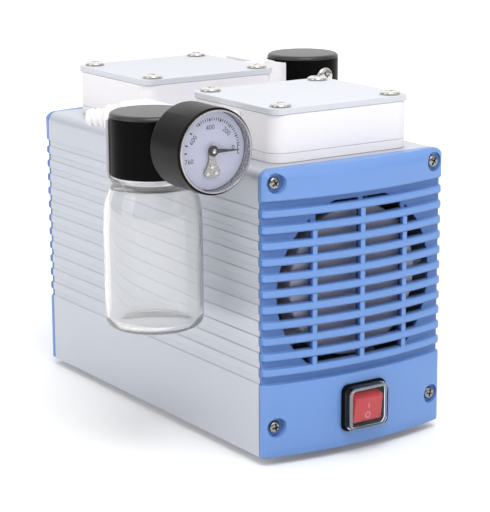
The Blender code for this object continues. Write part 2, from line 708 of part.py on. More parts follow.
def port_arm_mesh(side, trap_y, port_y):
    """White arm from the head's side to a cradle round the back of the cap, with a port block."""
    trap_x = side * TRAP_X
    low = CAP_LOW - 0.0025
    over = CAP_TOP + 0.01

    def x_span(inner, outer):
        return tuple(sorted((side * inner, side * outer)))

    cradle = cylinder(CRADLE_RADIUS, low, CRADLE_TOP, centre=(trap_x, trap_y), segments=32)
    arm = box(x_span(HEAD_WIDTH / 2 + GAP, 0.090), (trap_y - ARM_HALF_WIDTH, trap_y + ARM_HALF_WIDTH),
              (BODY_TOP + 0.003, CRADLE_TOP + 0.0005))
    block = box(x_span(0.0695, PORT_FACE_X + 0.004), (trap_y + 0.009, port_y + 0.006),
                (PORT_Z - PORT_HALF_HEIGHT, PORT_Z + PORT_HALF_HEIGHT))
    solid = join(cradle, arm, block)
    room = cylinder(CAP_RADIUS + GAP, low - 0.01, over, centre=(trap_x, trap_y), segments=32)
    outer_front = box(x_span(TRAP_X - 0.0001, 0.140), (trap_y - 0.040, trap_y + 0.0115), (low - 0.01, over))
    inner_front = box(x_span(0.0660, TRAP_X + 0.001), (trap_y - 0.040, trap_y - 0.0112), (low - 0.01, over))
    corner = box((-GAP, 0.040), (-0.040, 0.040), (-0.020, 0.020))
    corner.transform(port_place(side, port_y))
    return cut(solid, room, outer_front, inner_front, corner)


def barb_mesh():
    """Hose barb along +X with a round collar, bored through."""
    shoulder = BARB_COLLAR_LENGTH
    end = shoulder + BARB_RIDGES * BARB_RIDGE_PITCH + 0.0012
    profile = [(BARB_BORE, 0), (BARB_COLLAR_RADIUS, 0), (BARB_COLLAR_RADIUS, shoulder - 0.0008),
               (BARB_COLLAR_RADIUS - 0.0008, shoulder), (BARB_ROOT_RADIUS, shoulder)]
    for number in range(BARB_RIDGES):
        base = shoulder + BARB_RIDGE_PITCH * number
        profile += [(BARB_RIDGE_RADIUS, base + 0.0010), (BARB_ROOT_RADIUS, base + BARB_RIDGE_PITCH)]
    profile += [(BARB_ROOT_RADIUS - 0.0006, end), (BARB_BORE, end)]
    return lathe(profile, "X", segments=12, ring=True)


def build_traps():
    jar = jar_mesh()
    barb = barb_mesh()
    sides = (("left", -1, LEFT_TRAP_Y, LEFT_PORT_OFFSET, 0.0, "inlet_barb"),
             ("right", 1, RIGHT_TRAP_Y, RIGHT_PORT_OFFSET, RIGHT_TRAP_RISE, "outlet_barb"))
    for name, side, trap_y, port_offset, rise, barb_name in sides:
        add_object(f"{name}_trap_cap", cap_mesh(side * TRAP_X, trap_y), "black_plastic", (0, 0, rise))
        add_object(f"{name}_trap_jar", jar, "glass", (side * TRAP_X, trap_y, rise))
        port_y = trap_y + port_offset
        arm = port_arm_mesh(side, trap_y, port_y)
        if name == "right":
            boss = cylinder(0.0094, trap_y - 0.022, trap_y - 0.008, "Y", (0.0613, PORT_Z + 0.0042))
            arm = join(arm, boss)
        add_object(f"{name}_port_arm", arm, "white_ptfe", (0, 0, rise))
        fitting = add_object(barb_name, barb, "white_ptfe")
        fitting.matrix_world = Matrix.Translation((0, 0, rise)) @ port_place(side, port_y)
    plug = screw_mesh(GAUGE_STEM_RADIUS - 0.0004, 0.0045, 0.0062, 0.0030)
    place = (TRAP_X, RIGHT_TRAP_Y - CAP_RADIUS - GAP, GAUGE_Z + RIGHT_TRAP_RISE)
    piece = add_object("right_trap_plug", plug, "steel", place)
    piece.rotation_euler = (pi / 2, 0, 0)


# ---------------------------------------------------------------- gauge

def build_gauge():
    front = GAUGE_FRONT_Y
    back = front + GAUGE_DEPTH
    inner = GAUGE_RADIUS - 0.0015
    stem_end = LEFT_TRAP_Y - CAP_RADIUS + 0.005
    floor = front + 0.0080
    profile = [(0, floor), (inner, floor), (inner, front), (GAUGE_RADIUS - 0.0006, front),
               (GAUGE_RADIUS, front + 0.0006), (GAUGE_RADIUS, back - 0.0015), (GAUGE_RADIUS - 0.0015, back),
               (0.0075, back), (0.0075, back + 0.006), (GAUGE_STEM_RADIUS, back + 0.006),
               (GAUGE_STEM_RADIUS, stem_end), (0, stem_end)]
    centre = (-TRAP_X, 0, GAUGE_Z)
    add_object("gauge_case", lathe(profile, "Y", segments=24), "black_plastic", centre)
    dial_face = front + 0.0065
    dial = cylinder(inner - GAP, dial_face, floor - GAP, "Y", segments=24)
    add_object("gauge_dial", dial, "dial_paint", centre)
    lens_rim = inner - GAP
    lens = [(0, front + 0.0008), (lens_rim, front + 0.0012), (lens_rim, front),
            (lens_rim - 0.004, front - 0.0004), (0, front - 0.0008)]
    add_object("gauge_lens", lathe(lens, "Y", segments=24), "glass", centre)
    needle_y = dial_face - 0.0030
    hub = cylinder(0.0030, needle_y - 0.0008, dial_face - GAP, "Y", segments=16)
    outline = [(-0.0045, -0.0011), (0.0, -0.0013), (0.0168, -0.0003),
               (0.0168, 0.0003), (0.0, 0.0013), (-0.0045, 0.0011)]
    pointer = prism(outline, needle_y, needle_y + 0.0007, axis="Y")
    add_object("gauge_needle", join(hub, pointer), "black_plastic", centre)


# ---------------------------------------------------------------- switch and power inlet

def cutout_prism(width, height, y_range, corner=0.001, steps=1):
    outline = rounded_rectangle(width, height, corner, (0, CUTOUT_Z), steps)
    return prism(outline, *y_range, axis="Y")


def tapered_shell(back_size, front_size, back, front, corner):
    """Rounded block along Y whose front outline is smaller than its back one."""
    bm = bmesh.new()
    loops = []
    for (width, height), y in ((back_size, back), (front_size, front)):
        outline = rounded_rectangle(width, height, corner, (0, CUTOUT_Z), 3)
        loops.append([bm.verts.new((u, y, v)) for u, v in outline])
    count = len(loops[0])
    for step in range(count):
        after = (step + 1) % count
        bm.faces.new((loops[0][step], loops[0][after], loops[1][after], loops[1][step]))
    bm.faces.new(loops[0])
    bm.faces.new(loops[1])
    return to_mesh("tapered", bm)


def build_switch():
    face = -HALF_LENGTH - PANEL_EDGE - PANEL_BOW
    bezel_back = face - GAP
    bezel_front = bezel_back - BEZEL_THICKNESS
    bezel = cutout_prism(BEZEL_WIDTH, BEZEL_HEIGHT, (bezel_front, bezel_back), 0.004, 3)
    body = cutout_prism(CUTOUT_WIDTH - 2 * GAP, CUTOUT_HEIGHT - 2 * GAP, (bezel_back - 0.001, face + 0.024))
    pocket = cutout_prism(ROCKER_WIDTH + 0.0012, ROCKER_HEIGHT + 0.0032, (bezel_front - 0.001, face + 0.011))
    add_object("switch_body", cut(join(bezel, body), pocket), "black_plastic")

    back = bezel_front - GAP
    corner = 0.004
    shell = tapered_shell(COVER_BASE, COVER_FRONT, back, -FRONTMOST_Y, corner)
    inner_base = [side - 2 * COVER_SKIN for side in COVER_BASE]
    inner_front = [side - 2 * COVER_SKIN for side in COVER_FRONT]
    room = tapered_shell(inner_base, inner_front, back + 0.0005, -FRONTMOST_Y + COVER_SKIN, corner - COVER_SKIN)
    add_object("switch_cover", cut(shell, room), "glass")

    half = ROCKER_HEIGHT / 2
    edge = 0.001
    outline = [(-ROCKER_FACE + edge, -half), (ROCKER_BACK, -half), (ROCKER_BACK, half),
               (-ROCKER_FACE + edge, half), (-ROCKER_FACE, half - edge), (-ROCKER_FACE, -half + edge)]
    rocker = prism(outline, -ROCKER_WIDTH / 2, ROCKER_WIDTH / 2, axis="X")
    piece = add_object("switch_rocker", rocker, "red_plastic", (0, ROCKER_PIVOT_Y, CUTOUT_Z))
    piece.rotation_euler = (ROCKER_TILT, 0, 0)


def build_power_inlet():
    """Flange on the panel, raised rim round the socket and a body behind it."""
    face = HALF_LENGTH + PANEL_EDGE + PANEL_BOW
    flange_back = face + GAP
    flange_front = flange_back + 0.003
    flange = cutout_prism(BEZEL_WIDTH, BEZEL_HEIGHT, (flange_back, flange_front), 0.003, 2)
    rim = cutout_prism(0.0278, 0.0203, (flange_front - 0.001, FRONTMOST_Y), 0.002, 1)
    body = cutout_prism(CUTOUT_WIDTH - 2 * GAP, CUTOUT_HEIGHT - 2 * GAP, (face - 0.022, flange_back + 0.001))
    socket = cutout_prism(0.0240, 0.0165, (FRONTMOST_Y - 0.018, FRONTMOST_Y + 0.001), 0.0015)
    add_object("power_inlet", cut(join(flange, rim, body), socket), "black_plastic")


def main():
    clear_scene()
    build_housing()
    build_base()
    build_panels()
    build_fans()
    build_motor()
    build_cranks()
    build_heads()
    build_traps()
    build_gauge()
    build_switch()
    build_power_inlet()


main()
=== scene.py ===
"""Looks of a twin-head laboratory diaphragm vacuum pump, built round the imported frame.

Metres, +Z up, the frame's own axes: the switch end faces -Y and the shaft runs along Y.
Each sub-part has its own function, and each material its own entry in a table.
"""

import json
from math import cos, pi, radians, sin, sqrt

import bmesh
import bpy
from mathutils import Matrix, Quaternion, Vector


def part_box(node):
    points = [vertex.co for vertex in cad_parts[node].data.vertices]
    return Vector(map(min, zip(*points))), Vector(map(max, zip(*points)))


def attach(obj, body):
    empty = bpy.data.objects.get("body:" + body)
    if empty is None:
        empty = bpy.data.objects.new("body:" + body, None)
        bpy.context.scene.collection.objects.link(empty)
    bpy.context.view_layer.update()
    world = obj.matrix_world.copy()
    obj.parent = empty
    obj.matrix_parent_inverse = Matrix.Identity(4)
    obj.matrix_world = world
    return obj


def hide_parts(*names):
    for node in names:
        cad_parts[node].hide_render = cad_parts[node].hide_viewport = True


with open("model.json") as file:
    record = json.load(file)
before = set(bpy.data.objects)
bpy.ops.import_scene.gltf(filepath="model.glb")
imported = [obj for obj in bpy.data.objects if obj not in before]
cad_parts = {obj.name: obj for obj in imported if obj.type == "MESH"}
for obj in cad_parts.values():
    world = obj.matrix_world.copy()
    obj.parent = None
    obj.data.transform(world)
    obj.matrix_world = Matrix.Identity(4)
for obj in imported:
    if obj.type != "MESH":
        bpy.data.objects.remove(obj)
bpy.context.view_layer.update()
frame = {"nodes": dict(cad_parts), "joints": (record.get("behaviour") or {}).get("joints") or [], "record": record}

# ---- sizes taken from the frame

HOUSING_LOW, HOUSING_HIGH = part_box("housing_shell")
HALF_WIDTH = HOUSING_HIGH.x
HALF_LENGTH = HOUSING_HIGH.y
BODY_LOW = HOUSING_LOW.z
BODY_TOP = HOUSING_HIGH.z
GAP = 0.0003


def middle(node):
    """The middle of a CAD node's box."""
    return [(low + high) / 2 for low, high in zip(*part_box(node))]


SHAFT_Z = middle("motor_shaft")[2]


# ---- sizes of the finer shapes

CORNER_RADIUS = 0.0065
WALL = 0.004
FLUTE_DEPTH = 0.0008
FLUTE_SLOPE = 0.0006
RIB_COUNT = 11
RIB_HEIGHT = 0.0047
RIBS_LOW = BODY_LOW + 0.0445
RIBS_HIGH = BODY_LOW + 0.1533
GROOVE_HEIGHT = (RIBS_HIGH - RIBS_LOW - RIB_COUNT * RIB_HEIGHT) / (RIB_COUNT + 1)
PANEL_EDGE = 0.005
PANEL_BOW = 0.0085
FLOOR_EDGE = 0.002
FLOOR_BOW = 0.0075
FLOOR_THICKNESS = 0.0018
RIB_ROUND = 0.0013
FILLET = 0.0006
SIDE_ROUND = 0.0034
TOP_ROUND = 0.0060
GRILLE_RADIUS = 0.0562
GRILLE_Z = BODY_LOW + 0.097
GRILLE_LOWEST = -0.0475
GRILLE_HIGHEST = 0.0532
BAR_X = (-0.033, 0.0, 0.033)
BAR_WIDTH = 0.0033
PANEL_SCREW_X = 0.058
PANEL_SCREW_Z = (BODY_LOW + 0.0183, BODY_LOW + 0.164)
WELL_RADIUS = 0.0058
WELL_FLOOR = 0.0035
CUTOUT = (0.0276, 0.0246)
CUTOUT_Z = BODY_LOW + 0.024
COVER_FRONT = (0.0290, 0.0258)
ROCKER_SIZE = (0.0204, 0.0169)
PORT_FACE_X = 0.092
SEAM = 0.0001
HOUSING_HOLE = 0.030
BLOCK_CORNER = 0.010
PLATE_CORNER = 0.007
FLANGE_BORE = 0.034
RECESS = 0.0424
CHAMBER = 0.030
COVER_HOLE = 0.0033
COVER_SHANK = 0.0028
SOCKET_RADIUS = 0.0053
JAR_LONGER = 0.0012
PORT_OFFSETS = {"left": 0.0575, "right": 0.0375}

# ---- light

SKY = (0.18, 0.95)
BACK_SKY = 0.80
FLOOR_GLOW = (0.10, 0.40)
LIGHTS = (
    ("top_softbox", (-0.28, -0.80, 1.40), (0.9, 0.9), 11.4),
    ("left_softbox", (-1.7, 0.1, 0.7), (1.0, 1.2), 4.6),
    ("front_softbox", (0.7, -1.7, 0.9), (0.9, 1.1), 1.8),
)


# ---- materials

# name: slot, colour, roughness, metallic, grain scale, bump, colour swing
FINISHES = {
    "aluminium": ("aluminium", (0.575, 0.60, 0.655), 0.46, 0.60, 900, 0.02, 0.04),
    "blue_plastic": ("blue_plastic", (0.152, 0.297, 0.645), 0.40, 0.0, 2600, 0.05, 0.05),
    # the blue with painted shade, for the grooves' floors and the grille bars' sides
    "blue_painted_shade": ("blue_plastic", (0.088, 0.205, 0.520), 0.50, 0.0, 2600, 0.05, 0.05),
    "white_ptfe": ("white_ptfe", (0.85, 0.83, 0.855), 0.55, 0.0, 1400, 0.03, 0.03),
    "grey_plate": ("grey_plate", (0.65, 0.665, 0.71), 0.55, 0.0, 1900, 0.04, 0.03),
    "steel": ("steel", (0.66, 0.64, 0.62), 0.20, 1.0, 1500, 0.02, 0.10),
    "dark_steel": ("steel", (0.32, 0.31, 0.30), 0.26, 1.0, 1500, 0.03, 0.10),
    "ring_steel": ("steel", (0.46, 0.45, 0.46), 0.28, 0.9, 1200, 0.01, 0.05),
    "black_plastic": ("black_plastic", (0.003, 0.003, 0.0033), 0.30, 0.0, 2200, 0.04, 0.20),
    # a lighter, glossier copy of the black plastic for the caps' tops: painted sheen where the top catches the
    # light
    "satin_black_painted_sheen": ("black_plastic", (0.020, 0.019, 0.020), 0.34, 0.0, 2400, 0.05, 0.15),
    "case_black": ("black_plastic", (0.005, 0.0042, 0.0042), 0.36, 0.0, 2600, 0.06, 0.12),
    "rubber": ("rubber", (0.025, 0.025, 0.025), 0.80, 0.0, 1600, 0.15, 0.20),
    "red_plastic": ("red_plastic", (0.72, 0.010, 0.025), 0.20, 0.0, 1500, 0.02, 0.06),
    "dial_paint": ("dial_paint", (0.66, 0.68, 0.86), 0.55, 0.0, 2000, 0.02, 0.02),
    "ink": ("black_plastic", (0.012, 0.012, 0.016), 0.50, 0.0, 1800, 0.02, 0.10),
    "grey_ink": ("black_plastic", (0.04, 0.04, 0.055), 0.50, 0.0, 1800, 0.02, 0.10),
    "pale_ink": ("dial_paint", (0.95, 0.62, 0.62), 0.45, 0.0, 1800, 0.02, 0.04),
    "fan_plastic": ("fan_plastic", (0.60, 0.57, 0.66), 0.50, 0.0, 1500, 0.05, 0.06),
    "motor_iron": ("motor_iron", (0.20, 0.20, 0.21), 0.55, 0.8, 700, 0.20, 0.15),
}
STRETCHES = {"aluminium": (1, 0.02, 1), "white_ptfe": (1, 1, 0.2), "motor_iron": (1, 6, 1)}

# name: slot, colour, roughness, index of refraction, wave of the surface
CLEAR_FINISHES = {
    "glass": ("glass", (0.985, 0.985, 0.985), 0.035, 1.47, 0.12),
    "lens": ("glass", (0.99, 0.99, 1.0), 0.0, 1.30, 0.0),
    # milky plastic for the switch cover's rim: partly its own whitish look, partly painted highlight
    "milky_highlight_plastic": ("clear_plastic", (0.96, 0.96, 0.98), 0.10, 1.45, 0.05),
    "clear_plastic": ("clear_plastic", (0.99, 0.98, 0.99), 0.02, 1.25, 0.05),
}

# (name, shader socket): its value, where the shader's own value doesn't suit
SOCKETS = {
    ("red_plastic", "Coat Weight"): 0.3,
    ("black_plastic", "Specular IOR Level"): 0.035,
    ("case_black", "Specular IOR Level"): 0.12,
    ("satin_black_painted_sheen", "Specular IOR Level"): 0.60,
    ("grey_plate", "Specular IOR Level"): 0.12,
    ("white_ptfe", "Specular IOR Level"): 0.22,
    ("glass", "Transmission Weight"): 0.91,
    ("milky_highlight_plastic", "Transmission Weight"): 0.80,
}

# Painted shade: how far the base colour is darkened on faces that look down, standing in for the shade under a
# moulding's ribs
UNDERSIDE_PAINTED_SHADE = {"blue_plastic": 0.42, "blue_painted_shade": 0.42}


def add_node(tree, kind, values=None, links=None, **settings):
    """A shader node with its settings, socket values and incoming links; gives its outputs."""
    node = tree.nodes.new(f"ShaderNode{kind}")
    for name, value in settings.items():
        setattr(node, name, value)
    for socket, value in (values or {}).items():
        node.inputs[socket].default_value = value
    for socket, source in (links or {}).items():
        tree.links.new(source, node.inputs[socket])
    return node.outputs


def noise(tree, scale, detail, vector):
    return add_node(tree, "TexNoise", {"Scale": scale, "Detail": detail}, {"Vector": vector})["Fac"]


def in_range(tree, value, low, high, span=(0.3, 0.7)):
    """Spread a value's span, a noise's own unless given, over another range."""
    limits = {"From Min": span[0], "From Max": span[1], "To Min": low, "To Max": high}
    return add_node(tree, "MapRange", limits, {"Value": value})["Result"]


def painted_shade_below(tree, colour, share):
    """Painted shade: darken a colour on faces whose own normal points down, as if they lay in shade."""
    normal = add_node(tree, "TexCoord")["Normal"]
    upward = add_node(tree, "SeparateXYZ", links={"Vector": normal})["Z"]
    shade_scale = in_range(tree, upward, share, 1.0, (-0.9, -0.1))
    return add_node(tree, "VectorMath", links={0: colour, "Scale": shade_scale}, operation="SCALE")["Vector"]


def shader_tree(name):
    material = bpy.data.materials.new(name)
    material.use_nodes = True
    tree = material.node_tree
    place = add_node(tree, "TexCoord")["Object"]
    return material, tree, tree.nodes["Principled BSDF"], place


def bump(tree, shader, height, strength, distance):
    values = {"Strength": strength, "Distance": distance}
    tree.links.new(add_node(tree, "Bump", values, {"Height": height})["Normal"], shader.inputs["Normal"])


def solid_finish(name):
    """A fine grain in the surface, with a little change of colour and gloss over it."""
    _, colour, roughness, metallic, grain, strength, swing = FINISHES[name]
    broad_scale = 22
    gloss_swing = 0.04
    grain_depth = 0.0002
    material, tree, shader, place = shader_tree(name)
    stretch = {"Scale": STRETCHES.get(name, (1, 1, 1))}
    stretched = add_node(tree, "Mapping", stretch, {"Vector": place})["Vector"]
    fine = noise(tree, grain, 3, stretched)
    broad = noise(tree, broad_scale, 2, place)
    half = add_node(tree, "Math", {1: 0.5}, {0: broad}, operation="MULTIPLY")[0]
    blend = add_node(tree, "Math", {1: 0.5}, {0: fine, 2: half}, operation="MULTIPLY_ADD")[0]
    ends = {"A": (*[c * (1 - swing) for c in colour], 1),
            "B": (*[min(1, c * (1 + swing)) for c in colour], 1)}
    tint = add_node(tree, "Mix", ends, {"Factor": blend}, data_type="RGBA")["Result"]
    # painted shade on the faces that look down
    if name in UNDERSIDE_PAINTED_SHADE:
        tint = painted_shade_below(tree, tint, UNDERSIDE_PAINTED_SHADE[name])
    tree.links.new(tint, shader.inputs["Base Color"])
    gloss = in_range(tree, fine, roughness - gloss_swing, roughness + gloss_swing)
    tree.links.new(gloss, shader.inputs["Roughness"])
    shader.inputs["Metallic"].default_value = metallic
    bump(tree, shader, fine, strength, grain_depth)
    return material


def clear_finish(name):
    """Clear glass or plastic whose surface waves slightly."""
    _, colour, roughness, refraction, wave = CLEAR_FINISHES[name]
    wave_scale = 60
    wave_depth = 0.001
    material, tree, shader, place = shader_tree(name)
    broad = noise(tree, wave_scale, 1, place)
    tree.links.new(in_range(tree, broad, roughness, roughness + 0.02), shader.inputs["Roughness"])
    shader.inputs["Base Color"].default_value = (*colour, 1)
    shader.inputs["IOR"].default_value = refraction
    shader.inputs["Transmission Weight"].default_value = 1.0
    if wave:
        bump(tree, shader, broad, wave, wave_depth)
    return material


MATERIALS = {name: solid_finish(name) for name in FINISHES}
MATERIALS.update({name: clear_finish(name) for name in CLEAR_FINISHES})
for (finish, socket), amount in SOCKETS.items():
    MATERIALS[finish].node_tree.nodes["Principled BSDF"].inputs[socket].default_value = amount


# ---- shape helpers

def on_axis(axis, u, v, height):
    """A point given in the plane across an axis (u, v) and along it (height)."""
    return {"X": (height, u, v), "Y": (u, height, v), "Z": (u, v, height)}[axis]


def to_mesh(name, bm, sharp=35):
    bmesh.ops.recalc_face_normals(bm, faces=bm.faces)
    mesh = bpy.data.meshes.new(name)
    bm.to_mesh(mesh)
    bm.free()
    smooth(mesh, sharp)
    return mesh


def smooth(mesh, sharp=35):
    mesh.shade_smooth()
    mesh.set_sharp_from_angle(angle=radians(sharp))


def bridge(bm, first, second):
    """Close the gap between two loops of equally many points."""
    for step in range(len(first)):
        after = (step + 1) % len(first)
        bm.faces.new((first[step], first[after], second[after], second[step]))


def lathe(profile, axis="Z", centre=(0, 0), segments=64, ring=False):
    """Turn (radius, height) points about an axis; a ring's profile closes on itself."""
    bm = bmesh.new()
    rows = []
    for radius, height in profile:
        if radius < 1e-7:
            rows.append([bm.verts.new(on_axis(axis, *centre, height))])
            continue
        row = []
        for step in range(segments):
            turn = 2 * pi * step / segments
            u = centre[0] + radius * cos(turn)
            v = centre[1] + radius * sin(turn)
            row.append(bm.verts.new(on_axis(axis, u, v, height)))
        rows.append(row)
    pairs = list(zip(rows, rows[1:]))
    if ring:
        pairs.append((rows[-1], rows[0]))
    for first, second in pairs:
        if len(first) > 1 and len(second) > 1:
            bridge(bm, first, second)
            continue
        for step in range(segments):
            after = (step + 1) % segments
            if len(first) == 1:
                bm.faces.new((first[0], second[step], second[after]))
            else:
                bm.faces.new((first[step], first[after], second[0]))
    return to_mesh("lathe", bm)


def arc(centre, radius, start, end, steps=5):
    """Points on an arc in a profile's plane, from one angle to another in degrees."""
    turns = [radians(start + (end - start) * step / steps) for step in range(steps + 1)]
    return [(centre[0] + radius * cos(turn), centre[1] + radius * sin(turn)) for turn in turns]


def cylinder(radius, low, high, axis="Z", centre=(0, 0), segments=48):
    return lathe([(0, low), (radius, low), (radius, high), (0, high)], axis, centre, segments)


def prism(outline, low, high, axis="Z"):
    bm = bmesh.new()
    bottom = [bm.verts.new(on_axis(axis, u, v, low)) for u, v in outline]
    top = [bm.verts.new(on_axis(axis, u, v, high)) for u, v in outline]
    bm.faces.new(bottom)
    bm.faces.new(top)
    bridge(bm, bottom, top)
    return to_mesh("prism", bm)


def rounded_rectangle(width, height, radius, centre=(0, 0), steps=8):
    outline = []
    for side_u, side_v, start in ((1, 1, 0), (-1, 1, 90), (-1, -1, 180), (1, -1, 270)):
        corner = (centre[0] + side_u * (width / 2 - radius), centre[1] + side_v * (height / 2 - radius))
        outline += arc(corner, radius, start, start + 90, steps)
    return outline


def box(x_range, y_range, z_range):
    (x0, x1), (y0, y1) = x_range, y_range
    return prism([(x0, y0), (x1, y0), (x1, y1), (x0, y1)], *z_range)


def merged(meshes):
    """Several meshes as one, without joining their solids."""
    bm = bmesh.new()
    for mesh in meshes:
        bm.from_mesh(mesh)
    mesh = bpy.data.meshes.new("merged")
    bm.to_mesh(mesh)
    bm.free()
    return mesh


def add_item(name, data):
    item = bpy.data.objects.new(name, data)
    bpy.context.scene.collection.objects.link(item)
    return item


def evaluated(*items):
    """The first object's mesh with its modifiers; all the objects are then removed."""
    depsgraph = bpy.context.evaluated_depsgraph_get()
    mesh = bpy.data.meshes.new_from_object(items[0].evaluated_get(depsgraph))
    for item in items:
        bpy.data.objects.remove(item, do_unlink=True)
    return mesh


def combine(mesh, others, operation, sharp=35):
    """One Boolean with several tools that don't touch each other."""
    base = add_item("base", mesh)
    tool = add_item("tool", merged(others))
    modifier = base.modifiers.new("combine", "BOOLEAN")
    modifier.operation = operation
    modifier.solver = "EXACT"
    modifier.object = tool
    result = evaluated(base, tool)
    bm = bmesh.new()
    bm.from_mesh(result)
    bmesh.ops.remove_doubles(bm, verts=bm.verts, dist=2e-6)
    bmesh.ops.dissolve_degenerate(bm, edges=bm.edges, dist=2e-6)
    bm.to_mesh(result)
    bm.free()
    smooth(result, sharp)
    return result


def cut(mesh, *tools, sharp=35):
    return combine(mesh, tools, "DIFFERENCE", sharp)


def union(mesh, *tools, sharp=35):
    for tool in tools:
        mesh = combine(mesh, [tool], "UNION", sharp)
    return mesh


def add_piece(name, mesh, material, replaced=(), body="root", bevel=0.0, at=None):
    """Show a mesh as a piece that rides on a body, with softened edges where asked."""
    piece = add_item(name, mesh)
    if at:
        piece.matrix_world = at
    mesh.materials.clear()
    mesh.materials.append(MATERIALS[material])
    if bevel:
        modifier = piece.modifiers.new("edges", "BEVEL")
        modifier.width = bevel
        modifier.segments = 3
        modifier.limit_method = "ANGLE"
        modifier.angle_limit = radians(40)
        modifier.harden_normals = True
    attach(piece, body)
    if replaced:
        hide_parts(*replaced)
    return piece


def switch_block(size, reach, corner=0.001, steps=2):
    """A block through the end panel, round the middle of its cut-out."""
    return prism(rounded_rectangle(*size, corner, (0, CUTOUT_Z), steps), *reach, axis="Y")


# ---- housing

def groove_ranges():
    pitch = RIB_HEIGHT + GROOVE_HEIGHT
    return [(RIBS_LOW + i * pitch, RIBS_LOW + i * pitch + GROOVE_HEIGHT) for i in range(RIB_COUNT + 1)]


def build_housing():
    """Extruded inverted U whose flutes have small sloping sides."""
    slope = FLUTE_SLOPE
    right = [(HALF_WIDTH, BODY_LOW)]
    for low, high in groove_ranges():
        right += [(HALF_WIDTH, low), (HALF_WIDTH - FLUTE_DEPTH, low + slope),
                  (HALF_WIDTH - FLUTE_DEPTH, high - slope), (HALF_WIDTH, high)]
    centre = (HALF_WIDTH - CORNER_RADIUS, BODY_TOP - CORNER_RADIUS)
    right += arc(centre, CORNER_RADIUS, 0, 90, 16)
    left = [(-u, v) for u, v in reversed(right)]
    inner_u = HALF_WIDTH - WALL
    inner_v = BODY_TOP - WALL
    inside = [(-inner_u, BODY_LOW), (-inner_u, inner_v - WALL), (-inner_u + WALL, inner_v),
              (inner_u - WALL, inner_v), (inner_u, inner_v - WALL), (inner_u, BODY_LOW)]
    shell = prism(right + left + inside, -HALF_LENGTH, HALF_LENGTH, axis="Y")
    holes = []
    for name in ("front", "rear"):
        head_y = middle(f"{name}_flange")[1]
        holes.append(cylinder(HOUSING_HOLE, BODY_TOP - 0.01, BODY_TOP + 0.001, centre=(0, head_y)))
    add_piece("housing", cut(shell, *holes, sharp=25), "aluminium", ["housing_shell"])


# ---- end panels

def bowed(edge, bow, x):
    return -(edge + bow * (1 - (x / HALF_WIDTH) ** 2))


def edge_distance(x, z):
    """Distance inside the panel's rounded outline, and how much that edge faces up."""
    centre_x = HALF_WIDTH - CORNER_RADIUS
    centre_z = BODY_TOP - CORNER_RADIUS
    if abs(x) > centre_x and z > centre_z:
        reach = sqrt((abs(x) - centre_x) ** 2 + (z - centre_z) ** 2)
        return CORNER_RADIUS - reach, (z - centre_z) / max(reach, 1e-9)
    side = HALF_WIDTH - abs(x)
    top = BODY_TOP - z
    return min(side, top), 1.0 if top < side else 0.0


def rolled_front(x, z):
    """The panel's front surface, sloping back along its top edge and rounded along its sides."""
    front = bowed(PANEL_EDGE, PANEL_BOW, x)
    distance, upward = edge_distance(x, z)
    radius = SIDE_ROUND + (TOP_ROUND - SIDE_ROUND) * upward ** 3
    inside = max(0.0, 1 - max(distance, 0.0) / radius)
    slope = 0.30 * upward ** 3
    drop = radius * (slope * inside + (0.34 + 0.12 * (1 - upward)) * inside ** 2.2)
    return min(front + drop, -0.0012)


def panel_profile(x):
    """Cross-section points (y, z) of the panel at x: up the front with its ribs, then down the back."""
    floor = bowed(FLOOR_EDGE, FLOOR_BOW, x)
    back = min(floor + FLOOR_THICKNESS, -2 * GAP)

    def front(z):
        return rolled_front(x, z)

    soft = 0.0008
    points = [(front(BODY_LOW) + soft, BODY_LOW), (front(BODY_LOW) + soft * 0.3, BODY_LOW + soft * 0.3),
              (front(BODY_LOW), BODY_LOW + soft), (front(BODY_LOW), BODY_LOW + 0.010)]
    for low, high in groove_ranges():
        points += arc((front(low) + RIB_ROUND, low - RIB_ROUND), RIB_ROUND, 180, 90, 3)
        points += [(floor - FILLET, low), (floor, low + FILLET),
                   (floor, high - FILLET), (floor - FILLET, high)]
        points += arc((front(high) + RIB_ROUND, high + RIB_ROUND), RIB_ROUND, 270, 180, 3)
    rise = BODY_TOP - RIBS_HIGH - RIB_ROUND
    levels = 26
    for step in range(1, levels + 1):
        z = BODY_TOP - rise * (1 - step / levels) ** 1.6
        points.append((front(z), z))
    points += [(-GAP, BODY_TOP), (-GAP, BODY_TOP - WALL), (back, BODY_TOP - WALL)]
    points += [(back, BODY_LOW + WALL), (-GAP, BODY_LOW + WALL), (-GAP, BODY_LOW)]
    return points


def panel_blank():
    edge_steps = (0.0, 0.0002, 0.0006, 0.0011, 0.0016, 0.0022, 0.0028, 0.0034, 0.0045, 0.0065)
    middle_steps = 40
    left = [-HALF_WIDTH + step for step in edge_steps]
    span = -2 * left[-1]
    between = [left[-1] + span * step / middle_steps for step in range(1, middle_steps)]
    stations = left + between + [-x for x in reversed(left)]
    bm = bmesh.new()
    rows = [[bm.verts.new((x, y, z)) for y, z in panel_profile(x)] for x in stations]
    for first, second in zip(rows, rows[1:]):
        bridge(bm, first, second)
    bm.faces.new(rows[0])
    bm.faces.new(rows[-1])
    return to_mesh("panel", bm)


